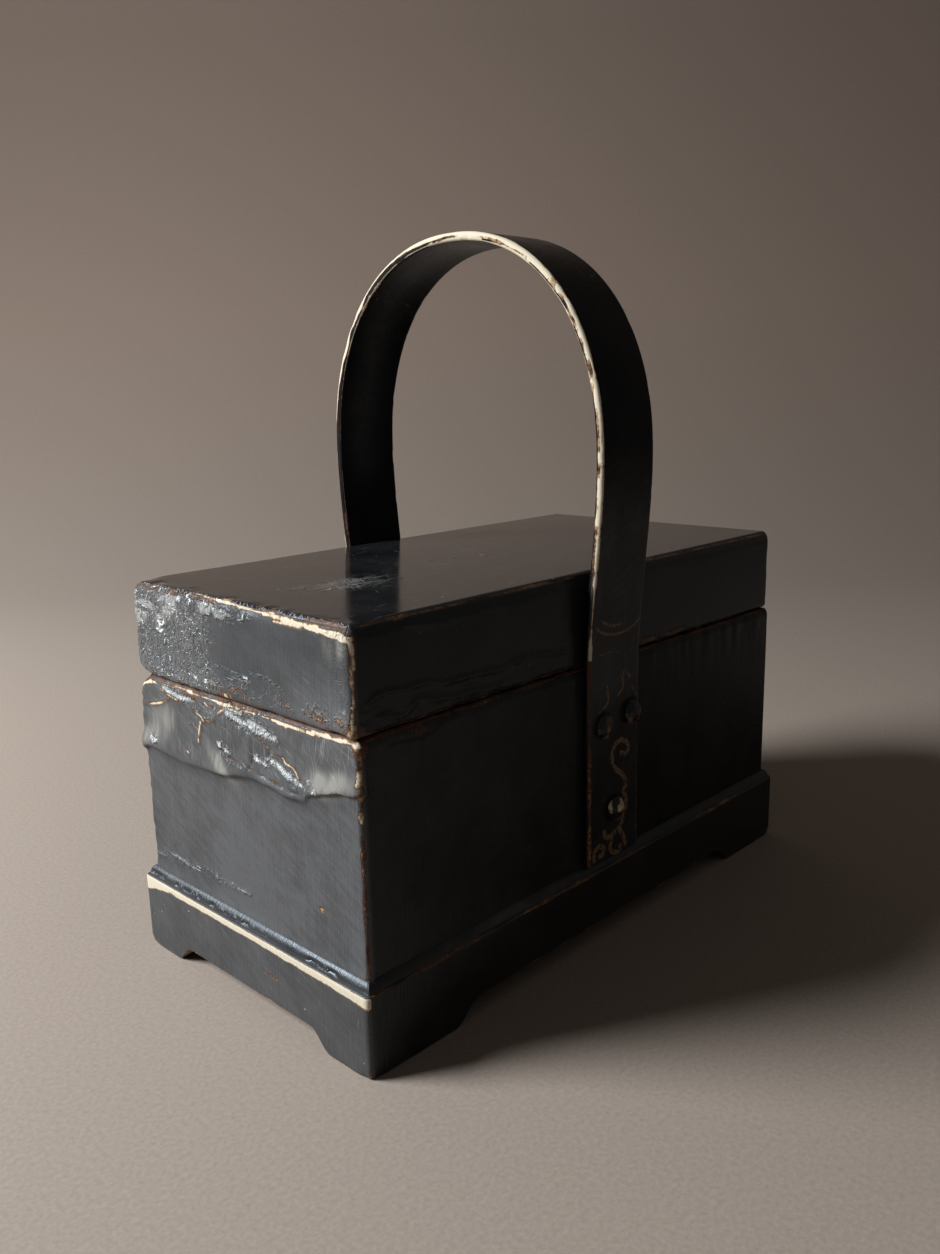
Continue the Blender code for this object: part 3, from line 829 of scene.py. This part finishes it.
depth = 0.45 * chip + 0.55 * edge_chip * (bump(corner_gap, 0, 2.2) + bump(rim_gap, 0.5, 2))
loss = skin * corner_loss(points, half_x, half_y, CORNER_WIDE)
points = sink(points, quads, np.clip(depth - swell, -3.2, 1.5) * skin)
points[:, 2] -= loss * soft(z, 105, rim) ** 2
lump, points = lumpy_corner(points, (-half_x, -half_y, rim - 1), fine)
body = mesh_piece("box_shell", points, quads, caps)
rim_low = np.abs(rim_gap - 1.9 - 1.2 * noise(points, 20, 58)) - 0.2
rim_wear = most(
    west * arris(rim_low, points, np.where(y < -46, 1.1, 0.5), 7, 51) * (0.9 + 0.6 * fine),
    0.43 * west * soft(-rim_gap, -2.2, -1.2),
    0.45 * (1 - west) * arris(beyond(rim_gap, 0.8), points, 0.6, 16, 52),
)
upright_wear = np.where(z > 100, 0.60, 0.46) + np.where(z > 100, 0.45, 0.12) * noise(points, 3, 40)
upright_wear *= arris(beyond(corner_gap, 0.9), points, 0.7, 5, 53)
fold_wear = west * most(
    trace(end_face, RAISED_LINES, 1.25) * (0.78 + 0.7 * fine),
    0.5 * trace(end_face, OPEN_CRACKS, 2.0) * soft(fine, -0.3, 0.3),
)
# Frosted lacquer with painted glints on the pale patches.
white_glint = west * trace(end_face, WHITE_GLINT_PATCHES, 3.0) * soft(layered(points, 3, 3, 36), -0.5, 0.2)
# Painted highlights on the wave's folds.
satin = sum(spot(end_face, *values) for values in PAINTED_GLOW_SPOTS)
satin *= 0.75 + 0.9 * layered(points * (1, 1, 0.15), 3, 2, 37)
speck = west * soft(SPECK_RADIUS - np.hypot(y - SPECK_ACROSS, z - SPECK_UP) + 0.8 * fine, 0, 0.5)
light_line = trace(end_face, PALE_LINES, 1.5) * soft(fine, -0.5, 0.0)
set_marks(
    body,
    worn=skin * most(
        rim_wear, upright_wear, fold_wear, 0.33 * chip, 0.42 * west * edge_chip * soft(z, 120, 128),
        0.62 * lump * (1 + 0.5 * fine), 0.64 * speck,
    ),
    frost=most(
        2.4 * white_glint, 2.0 * west * trace(end_face, LACE, 3.2), 1.5 * west * light_line, 0.3 * blister,
    ),
    gloss=np.clip(0.7 * loose + 0.30 * filler + 0.75 * (1 - west), 0, 1),
    scuff=0.06 + 0.24 * west + 0.25 * loose,
    # Grey wiped coat over the lit end as painted sheen, weaker towards the back edge, with painted shade
    # just below the wave's crest; painted light on the long side, stronger towards the lit end.
    film=1.25 * west * (1 - 0.12 * loose - 0.30 * bump(above, -3.5, 3.5)) * (1.02 - 0.22 * soft(y, -20, 75))
    + 0.26 * south * soft(-x - 0.3 * z, -60, 80),
    satin=west * np.clip(1.15 * satin, 0, 1),
    face=face_places(points, half_x, half_y),
)
body.data.materials.append(lacquer_finish(
    "body_lacquer_old", tone=(0.010, 0.0105, 0.0115), pale_tone=(0.50, 0.53, 0.54),
    dull=0.50, bright=0.17, sheen=0.17,
))
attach(body, "root")
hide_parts("box_body")

# The lid: a cap of the same boards and lacquer, rebated over the tongue. It only rests there.
# Its lit end is crazed and silvery towards the back, and its long edges are rubbed and rippled.
LID_RADIUS, LID_TOP_DEEP, LID_TOP_TALL, LID_FOOT_RADIUS = 3.6, 3.2, 6.0, 2.4
LID_BOARD, LID_CLEARANCE, LID_CORNER_WIDE = 9.0, 0.4, 9
CRAZE_EDGE = ((136, 15), (141, 18), (145, 21), (154, 18), (164, 18.5), (168, 21), (171, 8), (173, -6))
SCRAPE_AND_GLINT_FOOT = ((-75, 168), (-40, 168), (-11, 165), (20, 160), (63, 155), (76, 150))
CREAM_LINE = ((-74, 5.2), (-62, 4.4), (-48, 3.4), (-33, 2.6), (-7, 1.6), (22, 0.6), (30, 0.4))
CREAM_DOWN = (((-71, 168.5), (-73, 166), (-73.6, 161), (-73.6, 157)),)
GOLD_LINE = ((-30, 168.8), (-38, 168.6), (-47, 168.4))
BURSTS = ((10, 7), (3, 6), (-6, 7), (-31, 5), (-50, 6), (-58, 7), (-68, 4), (33, 3))
GOUGES = (
    ((11, 144.5), (5, 144.6), (-2, 144.2), (-7, 143.6), (-12, 142.5)),
    ((-13, 145.6), (-19, 146), (-24.6, 145.3), (-33, 142.7)),
    ((3, 140.8), (-5, 141.7), (-12, 142)),
    ((-25, 142), (-21.5, 139), (-18, 136)), ((-29, 141.5), (-28.6, 139), (-28, 136.6)),
)
SIDE_CRACKS = (
    ((-120, 169), (-106.6, 166.6), (-95, 167), (-82, 166.5), (-75, 167.8), (-53, 165.4)),
    ((-140, 143), (-132.7, 146), (-121, 145), (-112, 145.4), (-100, 142.8), (-86, 142.5),
     (-70, 142), (-53, 143.3), (-30, 141)),
    ((-135, 137.6), (-122, 135.4), (-115, 139.6), (-104, 137.2), (-86, 136), (-69, 134.6)),
)
TOP_SCRATCHES = (
    ((-112, -16), (-98, -14), (-84, -16), (-72, -20)),
    ((-104, 6), (-92, -3), (-80, -8), (-68, -9)),
    ((-118, -2), (-104, -5), (-90, -6)),
    ((-30, 5.5), (-8, -3), (12, -13)),
)
TOP_CHIPS = (
    (-141, 58, 4, 6, 0), (-142, 29, 3, 7, 0), (-144, 3, 3, 9, 0), (-143.5, -25, 2.2, 12, 0),
    (-143, -58, 2, 9, 0),
)
# A painted highlight by the near upright edge of the lit end.
CORNER_PAINTED_GLOW = (-66, 165, 6, 5, 0.1)

(_, _, lid_foot), (lid_half_x, lid_half_y, lid_top) = box_corners("lid")
inner_x, inner_y = lid_half_x - (half_x - WALL), lid_half_y - (half_y - WALL)
rebate_x, rebate_y = (inset - TONGUE - LID_CLEARANCE for inset in (inner_x, inner_y))
rebate_top = lid_foot + TONGUE_HEIGHT + LID_CLEARANCE
ceiling = lid_top - LID_BOARD
steps = arc_steps(LID_TOP_DEEP, lid_top - LID_TOP_TALL, LID_TOP_DEEP, LID_TOP_TALL, 90, 0, 11)
steps += line_steps(steps[-1], (0.0, lid_foot + LID_FOOT_RADIUS), 38)
steps += arc_steps(LID_FOOT_RADIUS, lid_foot + LID_FOOT_RADIUS, LID_FOOT_RADIUS, LID_FOOT_RADIUS, 0, -90, 6)
steps = [(inset, inset, height) for inset, height in steps]
steps += [(rebate_x, rebate_y, lid_foot), (rebate_x, rebate_y, rebate_top)]
steps += [(inner_x, inner_y, height) for height in (rebate_top, (rebate_top + ceiling) / 2, ceiling)]
rows = ring_stack(lid_half_x, lid_half_y, LID_RADIUS, steps)


def with_grid(rows, flat, height):
    """Close the first ring of a stack with the filled grid that it is the rim of. Gives all the
    points and faces, and the end face at the last ring."""
    points, quads, caps = rings(rows)
    number = np.full(flat.shape[:2], -1)
    number[rim_order()] = np.arange(rows.shape[1])
    inside = number < 0
    number[inside] = len(points) + np.arange(inside.sum())
    middle = np.column_stack([flat[inside], np.full(inside.sum(), height)])
    grid = np.stack([number[:-1, :-1], number[1:, :-1], number[1:, 1:], number[:-1, 1:]], -1)
    return np.concatenate([points, middle]), np.concatenate([quads, grid.reshape(-1, 4)]), caps[1:]


flat = plan(lid_half_x - LID_TOP_DEEP, lid_half_y - LID_TOP_DEEP, LID_RADIUS - LID_TOP_DEEP)
points, quads, caps = with_grid(rows, flat, lid_top)
x, y, z = points.T
west, south, skin, corner_gap = box_places(points, lid_half_x, lid_half_y)
top = soft(z, lid_top - 2.5, lid_top - 0.5)
skin = skin | (z > lid_top - 3)
end_face, side_face, top_face = points[:, 1:], points[:, ::2], points[:, :2]
fine, broad = layered(points, 5, 3, 21), layered(points, 22, 3, 22)
craze_edge = follow(z, CRAZE_EDGE) + 6 * layered(points * (1, 1, 0.6), 9, 4, 23)
crazed = west * soft(y - craze_edge, -9, 4)
rays = []
for centre, count in BURSTS:
    for n, lean in enumerate(np.linspace(-1.15, 1.15, count)):
        length = 4.5 + 4 * abs(math.sin(2.3 * n + centre))
        root = centre + 1.4 * (n - count / 2)
        middle = (root + 0.3 * length * math.sin(0.4 * lean), 133 + 0.5 * length)
        tip = (root + length * math.sin(lean), 133 + length * math.cos(lean))
        rays.append(((root, 132.6), middle, tip))
bursts = west * trace(end_face, rays, 1.0) * soft(fine, -0.25, 0.25)
gouges = west * trace(end_face, GOUGES, 1.2)
side_cracks = south * sum(bump(stroke(side_face, line), 0, 0.9) for line in SIDE_CRACKS)
rippled = south * soft(-z, -147, -141) * soft(-x, 20, 50)
top_chips = top * np.clip(sum(spot(top_face, *values) for values in TOP_CHIPS), 0, 1)
top_chips *= soft(fine, -0.3, 0.2)
near_corner = west * bump(y, -67, 7)
edge_gap = np.minimum(lid_half_x - np.abs(x), lid_half_y - np.abs(y))
swell = 0.12 * broad * (1 - 0.6 * top) + 0.03 * fine * (1 - top)
warp = np.stack([0 * x, noise(points, 8, 33), noise(points, 8, 34)], -1) * 5
swell += 0.45 * crazed * ridged((points + warp) * (1, 0.6, 1), 3.6, 2, 24)
swell += 0.28 * near_corner * layered(points * (1, 1, 0.3), 4, 2, 25)
swell += 0.5 * side_cracks + 0.4 * rippled * layered(points * (0.3, 1, 1), 2.6, 3, 26)
lid_chip = soft(layered(points, 10, 3, 27), 0.15, 0.5)
foot_gap, top_gap = z - lid_foot, lid_top - z
right_chips = south * soft(x, 24, 30) * soft(-x, -74, -68) * soft(-z, -136.5, -134.5)
right_chips *= soft(layered(points, 7, 3, 28), -0.35, -0.1)
depth = 0.5 * lid_chip * (bump(corner_gap, 0, 2.2) + bump(foot_gap, 0, 1.6))
depth += 0.30 * gouges + 0.45 * top_chips + 0.35 * right_chips
depth += 0.35 * lid_chip * bump(edge_gap, 1.2, 1.5) * soft(-top_gap, -5, -1)
foot_loss = skin * corner_loss(points, lid_half_x, lid_half_y, CORNER_WIDE)
top_loss = 0.55 * skin * corner_loss(points, lid_half_x, lid_half_y, LID_CORNER_WIDE)
points = sink(points, quads, most(depth - swell, -0.6 * (1 - top)) * skin)
points[:, 2] += foot_loss * soft(-z, -150, -lid_foot) ** 2
points[:, 2] -= top_loss * soft(z, 160, lid_top) ** 2
lump, points = lumpy_corner(points, (-lid_half_x, -lid_half_y, lid_foot + 1), fine)
lid = mesh_piece("lid_shell", points, quads, caps)
rim_arris = np.hypot(beyond(top_gap, 1.2), beyond(edge_gap, 1.3))
cream = np.abs(top_gap - follow(y, CREAM_LINE)) - 0.3
cream = arris(cream, points, np.where(y < -40, 0.62, 0.45), 10, 54) * soft(-y, -30, -22)
rim_wear = most(
    west * cream * (0.98 + 0.4 * fine) * soft(top_gap, -1, 0),
    0.44 * west * soft(-rim_arris, -2.6, -1.4) * soft(layered(points, 13, 3, 29), -0.5, 0.2),
    west * trace(end_face, CREAM_DOWN, 1.8),
    0.56 * (1 - west) * arris(rim_arris, points, 0.6, 16, 55),
)
# A pale band below the top edge of the lit end: scraping, with a painted highlight where the rounded edge
# catches the lamp.
scraped_and_glint = west * soft(lid_top - follow(y, SCRAPE_AND_GLINT_FOOT) - top_gap, -1, 3) * soft(top_gap, 1.2, 2.6)
scraped_and_glint *= soft(layered(points * (1, 0.5, 1), 4, 3, 32), -0.4, 0.3)
scraped_and_glint *= soft(y, -30, 5) + 0.6 * soft(-y, 58, 66) + 0.25
foot_wear = np.where(west > 0.5, 0.50, 0.44) * arris(beyond(foot_gap, 0.5), points, 0.7, 10, 56)
upright_wear = 0.68 * arris(beyond(corner_gap, 1.3), points, 0.6, 6, 57)
gold = west * bump(stroke(end_face, GOLD_LINE), 0, 0.9)
scratches = top * trace(top_face, TOP_SCRATCHES, 1.6) * soft(fine, -0.5, 0.1)
cluster = top * bump(x, -93, 20) * bump(y, -12, 14)
# Painted highlight, streaked upright, by the near corner.
corner_painted_glow = 0.8 * spot(end_face, *CORNER_PAINTED_GLOW) * (0.7 + 0.9 * layered(points * (1, 1, 0.2), 3, 2, 38))
# Painted highlight: more grey coat near the foot, most towards the near corner.
foot_film = 0.3 * soft(-foot_gap, -15, -3) + 0.55 * soft(-y, 10, 60) * soft(-foot_gap, -32, -10)
set_marks(
    lid,
    worn=skin * most(
        rim_wear, foot_wear, upright_wear, 0.8 * gold, 0.62 * top_chips, 0.50 * right_chips,
        0.60 * bursts * (1 + 0.5 * fine), 0.62 * lump * (1 + 0.5 * fine),
        0.36 * rippled * soft(noise(points, 6, 31), 0.2, 0.6),
    ),
    # Silvery crazing, scraping, gouges and scratches, with painted glints on the crazing's ridges, the pale
    # band and by the near corner.
    frost=np.clip(
        most(0.95 * crazed, 1.12 * scraped_and_glint) + 1.3 * gouges + 0.2 * near_corner
        + 1.5 * bursts * soft(foot_gap, 1.5, 5) + 1.5 * scratches, 0, 1.8
    ),
    gloss=np.clip(top + 0.75 * (1 - west) + 0.75 * crazed + 0.5 * scraped_and_glint - 0.3 * cluster, 0, 1),
    scuff=np.clip(0.30 * west + 0.06 + 0.36 * top + 0.42 * cluster, 0, 1),
    # Grey wiped coat over the lit end as painted sheen, stronger towards the back and the foot; a little on
    # the top and the long side.
    film=west * (1 - top) * (0.40 + 0.75 * soft(y + 5 * broad, -2, 36) + foot_film)
    + 0.03 * top + 0.06 * south,
    satin=west * np.clip(corner_painted_glow, 0, 1),
    face=face_places(points, lid_half_x, lid_half_y, lid_top - 2),
)
lid.data.materials.append(lacquer_finish(
    "lid_lacquer_old", tone=(0.010, 0.0105, 0.0115), pale_tone=(0.56, 0.59, 0.58),
    dull=0.50, bright=0.12, sheen=0.34,
))
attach(lid, "root")
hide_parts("lid")

# The handle: one strip of wood bent to an arch, lacquered, its edges rubbed through to the wood.
# Faded gold scrolls are painted on the leg in front, round the nails.
STRIP_WIDTH, STRIP_THICKNESS, STRIP_EDGE = 37.2, 4.0, 1.7
LEAN_BELOW_RIM, LEG_LEAN, LEG_GAP = 4.0, 6.2, 0.3
SPRING_ABOVE_LID, ARCH_RISE, ARCH_SQUARENESS = 47.5, 96.0, 2.18
NAIL_PLACES = {"left": (-9.4, 103.9), "right": (11.0, 106.0), "low": (-1.2, 62.7)}
GILT_STROKES = (
    ((4.5, 87.6), (7.6, 86.4), (9.9, 87.6), (9.4, 91), (5.6, 93.6), (0.7, 93), (-1.8, 90), (-1.8, 85),
     (0.8, 80.8), (5.3, 77.4), (8.2, 73.6), (8.6, 71), (6.7, 68.7)),
    ((6.7, 68.7), (8.7, 64.5), (8.8, 60.9), (7.4, 57.6), (6.2, 54.5), (3.8, 51.7), (-1.9, 49.6),
     (-6.5, 50), (-8, 53)),
    ((3.8, 51), (7.1, 46), (8.6, 42)),
    ((-15.2, 41.5), (-14.6, 45.6), (-11, 47), (-8, 45), (-8.6, 42.4), (-11, 42.2)),
    ((-1.8, 47.5), (-3.2, 43.6), (0.2, 40.2), (3.9, 40), (4.6, 42.4)),
)
FINE_STROKES = (
    ((-15.5, 149.5), (-13, 147.6), (-8.3, 145.5), (-1.2, 144.2), (6.1, 144.4), (12.5, 146), (17.7, 149.4)),
    ((-11.5, 151.6), (-5.7, 148.9), (-1.2, 148.2), (3, 148.3)),
    ((-12, 109.8), (-8, 112), (-5.3, 114.6), (-6.3, 121.5)),
    ((1.9, 115.2), (5.9, 118.8), (5.1, 123.5), (7.3, 125.8), (11.1, 122.2)),
)
FAINT_STROKES = (
    ((-11.7, 136.6), (-5, 136.4), (1.6, 135.8)),
    ((7.1, 141), (7.2, 134), (7.3, 127.5)),
    ((12.1, 118), (16, 112.4)),
    ((17.3, 152), (17.2, 120), (17.2, 90), (17.0, 60), (17.0, 42)),
)
GILT_HALF_WIDTH, FINE_THINNER, FAINT_THINNER = 1.35, 0.6, 0.95
GILT_TOP, GILT_REACH, FAR_OFF = 156, 5, 9000.0


def handle_line(count):
    """The strip's middle line as (across, up) points evenly spaced from foot to foot: straight
    up the box, a smooth lean outwards past the lid, and an arch like a squared ellipse."""
    leg = half_y + LEG_GAP + STRIP_THICKNESS / 2
    lean_start, spring = rim - LEAN_BELOW_RIM, lid_top + SPRING_ABOVE_LID
    up = np.linspace(box_corners("handle")[0][2], spring, 400)
    leg_line = np.stack([leg + LEG_LEAN * soft(up, lean_start, spring), up], -1)
    angle = np.linspace(0, math.pi / 2, 600)[1:]
    power = 2 / ARCH_SQUARENESS
    arch = np.stack([
        (leg + LEG_LEAN) * np.cos(angle).clip(0, 1) ** power,
        spring + ARCH_RISE * np.sin(angle) ** power,
    ], -1)
    half = np.concatenate([leg_line, arch])
    line = np.concatenate([half * (-1, 1), half[-2::-1]])
    reach = np.concatenate([[0], np.cumsum(np.linalg.norm(np.diff(line, axis=0), axis=1))])
    even = np.linspace(0, reach[-1], count)
    return np.stack([np.interp(even, reach, line[:, 0]), np.interp(even, reach, line[:, 1])], -1)


def strip_section(width, thickness, edge, flats=40, bends=4):
    """The strip's rounded rectangular section as (along the width, outwards) points in turn."""
    quarter = np.linspace(0, math.pi / 2, bends + 1)
    wide, deep = width / 2 - edge, thickness / 2 - edge
    ring = []
    for turn, (sx, sy) in enumerate(((1, 1), (-1, 1), (-1, -1), (1, -1))):
        angle = quarter + turn * math.pi / 2
        ring += list(zip(sx * wide + edge * np.cos(angle), sy * deep + edge * np.sin(angle)))
        if turn % 2 == 0:
            flat = np.linspace(sx * wide, -sx * wide, flats + 1)[1:-1]
            ring += [(place, sy * thickness / 2) for place in flat]
        else:
            ring.append((sx * width / 2, 0.0))
    return np.array(ring)


line = handle_line(760)
run = np.gradient(line, axis=0)
run /= np.linalg.norm(run, axis=1, keepdims=True)
outward = np.stack([-run[:, 1], run[:, 0]], -1)
section = strip_section(STRIP_WIDTH, STRIP_THICKNESS, STRIP_EDGE)
rows = np.empty((len(line), len(section), 3))
rows[..., 0] = section[:, 0]
rows[..., 1:] = line[:, None, :] + section[None, :, 1, None] * outward[:, None, :]
points, quads, caps = rings(rows)
out_side = np.broadcast_to(section[:, 1], rows.shape[:2]).ravel()
along = np.repeat(np.arange(len(line)) * np.linalg.norm(line[1] - line[0]), len(section))
x, y, z = points.T
left, outside = x < 0, out_side > 0
edge_gap = STRIP_WIDTH / 2 - np.abs(x)
left_edge = soft(-x, 16.6, 17.8)
fine, broad = layered(points, 5, 3, 41), layered(points, 20, 3, 42)
edge_chip = soft(layered(points, 7, 3, 43), 0.10, 0.45)
leg_flat = np.where(((y < 0) & (z < GILT_TOP) & outside)[:, None], points[:, ::2], FAR_OFF)
painted = ((GILT_STROKES, 0), (FINE_STROKES, FINE_THINNER), (FAINT_STROKES, FAINT_THINNER))
gilt = np.minimum.reduce([nearest(leg_flat, lines, GILT_REACH) + thinner for lines, thinner in painted])
sunk = np.zeros(len(points))
for side, mirror in ((-1, 1), (1, -1)):
    for across, up in NAIL_PLACES.values():
        ring = np.hypot(x - mirror * across, z - up)
        sunk += (y * side > 0) * outside * bump(ring, 5.4, 1.3)
depth = 0.28 * edge_chip * bump(edge_gap, 0, 1.2) + 0.35 * sunk
points = sink(points, quads, beyond(depth, 0.10 * broad + 0.03 * fine))
handle = mesh_piece("handle_strip", points, quads, caps)
outer_gap = np.hypot(edge_gap - 0.5, out_side - STRIP_THICKNESS / 2 + 0.5)
inner_gap = np.hypot(edge_gap - 0.5, out_side + STRIP_THICKNESS / 2 - 0.5)
high = soft(z, 230, 290)
left_wear = left * most(
    (0.92 + 0.25 * high) * arris(outer_gap, points, 0.9 + 0.4 * high, 20, 44),
    (0.45 + 0.6 * high) * arris(inner_gap, points, 0.6, 14, 45),
)
low_wear = np.minimum(0.45 * (left_wear + 0.5 * left_edge), 0.50)
left_wear = np.where(left & (z < 135), low_wear, left_wear)
# Pale bare wood along the left edge of the front half, also a painted highlight where that edge would catch
# the lamp.
bare_edge_and_highlight = left_edge * soft(out_side, -0.9, -0.3) * soft(-y, -15, 10) * soft(z, 150, 190)
bare_edge_and_highlight *= 0.78 + 0.7 * fine - 0.3 * edge_chip
right_wear = (1 - left) * 0.62 * arris(outer_gap, points, 0.7, 26, 46)
# Painted sheen: a soft grey glow on the inner face of the back leg, high up.
inner_film = 0.75 * soft(z, 190, 225) * (y > 0) * (out_side < 0) * bump(x, -3, 11)
# Painted sheen: the front leg's outer face greyer, more so above about 130 mm, fading out between 185 and
# 232 mm.
outer_film = (0.30 + 0.50 * soft(z, 92, 130)) * soft(-y, 0, 30) * outside * soft(-z, -232, -185)
set_marks(
    handle,
    worn=most(left_wear, bare_edge_and_highlight, right_wear) + 0.25 * sunk * soft(fine, -0.2, 0.3),
    gloss=np.clip(0.8 - 0.3 * soft(fine, 0, 0.5), 0, 1),
    scuff=0.12 + 0.3 * soft(z, 260, 300),
    film=outer_film + inner_film,
    gilt=gilt / GILT_HALF_WIDTH,
    face=np.stack([x * MM, along * MM, out_side * 0.1], -1),
)
handle.data.materials.append(lacquer_finish(
    "handle_lacquer_old", tone=(0.007, 0.007, 0.0078), pale_tone=(0.3, 0.3, 0.3),
    dull=0.36, bright=0.17, sheen=0.08, gilt_tone=(0.19, 0.118, 0.064),
))
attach(handle, "root")
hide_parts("handle")

# The nails: six hand-forged iron nails, their domed heads hammered and blackened, driven through
# the strap into the box. Each shank runs on into the board.
HEAD_RADIUS, HEAD_HEIGHT, HEAD_RIM, SHANK_RADIUS = 5.8, 3.8, 0.22, 1.2


def nail_surface(name, spokes=44):
    """The head and shank turned round the nail's own axis, found from its solid's box. Gives
    rings of points from the shank's tip to the crown, the crown's place and the way it faces."""
    low, high = box_corners(name)
    middle, front = (low + high) / 2, low[1] < 0
    face, tip, away = (low[1], high[1], -1) if front else (high[1], low[1], 1)
    under = face - away * HEAD_HEIGHT
    profile = [(0.05, tip), (SHANK_RADIUS, tip + away * 0.8), (SHANK_RADIUS, under)]
    profile += [(HEAD_RADIUS - 0.4, under)]
    profile += [
        (HEAD_RADIUS * math.cos(t) ** 0.9, face - away * HEAD_HEIGHT * (1 - HEAD_RIM) * (1 - math.sin(t)))
        for t in np.linspace(0, math.pi / 2, 12)[:-1]
    ]
    radius, depth = np.array(profile + [(0.05, face)]).T[..., None]
    angle = np.linspace(0, 2 * math.pi, spokes, endpoint=False)
    ring = np.stack([
        middle[0] - away * radius * np.cos(angle),
        np.broadcast_to(depth, (len(depth), spokes)),
        middle[2] + radius * np.sin(angle),
    ], -1)
    return ring, face, away


for number, name in enumerate(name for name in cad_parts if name.startswith("nail")):
    ring, face, away = nail_surface(name)
    points, quads, caps = rings(ring)
    quads = quads[:, ::-1]
    dent = layered(points, 4.2, 3, 50 + number)
    on_head = soft(away * (points[:, 1] - face), -HEAD_HEIGHT * 0.9, -HEAD_HEIGHT * 0.7)
    points = sink(points, quads, 1.3 * beyond(dent, 0) * on_head)
    nail = mesh_piece(name + "_forged", points, quads, caps, sharp=math.radians(60))
    set_marks(
        nail,
        worn=(0.9 if name == "nail_front_low" else 0.5) * soft(-dent, -0.1, 0.25) * on_head,
        gloss=0.7, scuff=0.3, face=points * MM,
    )
    nail.data.materials.append(bpy.data.materials.get("nail_iron_old") or lacquer_finish(
        "nail_iron_old", tone=(0.010, 0.0095, 0.009), pale_tone=(0.3, 0.3, 0.3),
        dull=0.34, bright=0.26, sheen=0.4,
    ))
    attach(nail, "root")
    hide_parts(name)
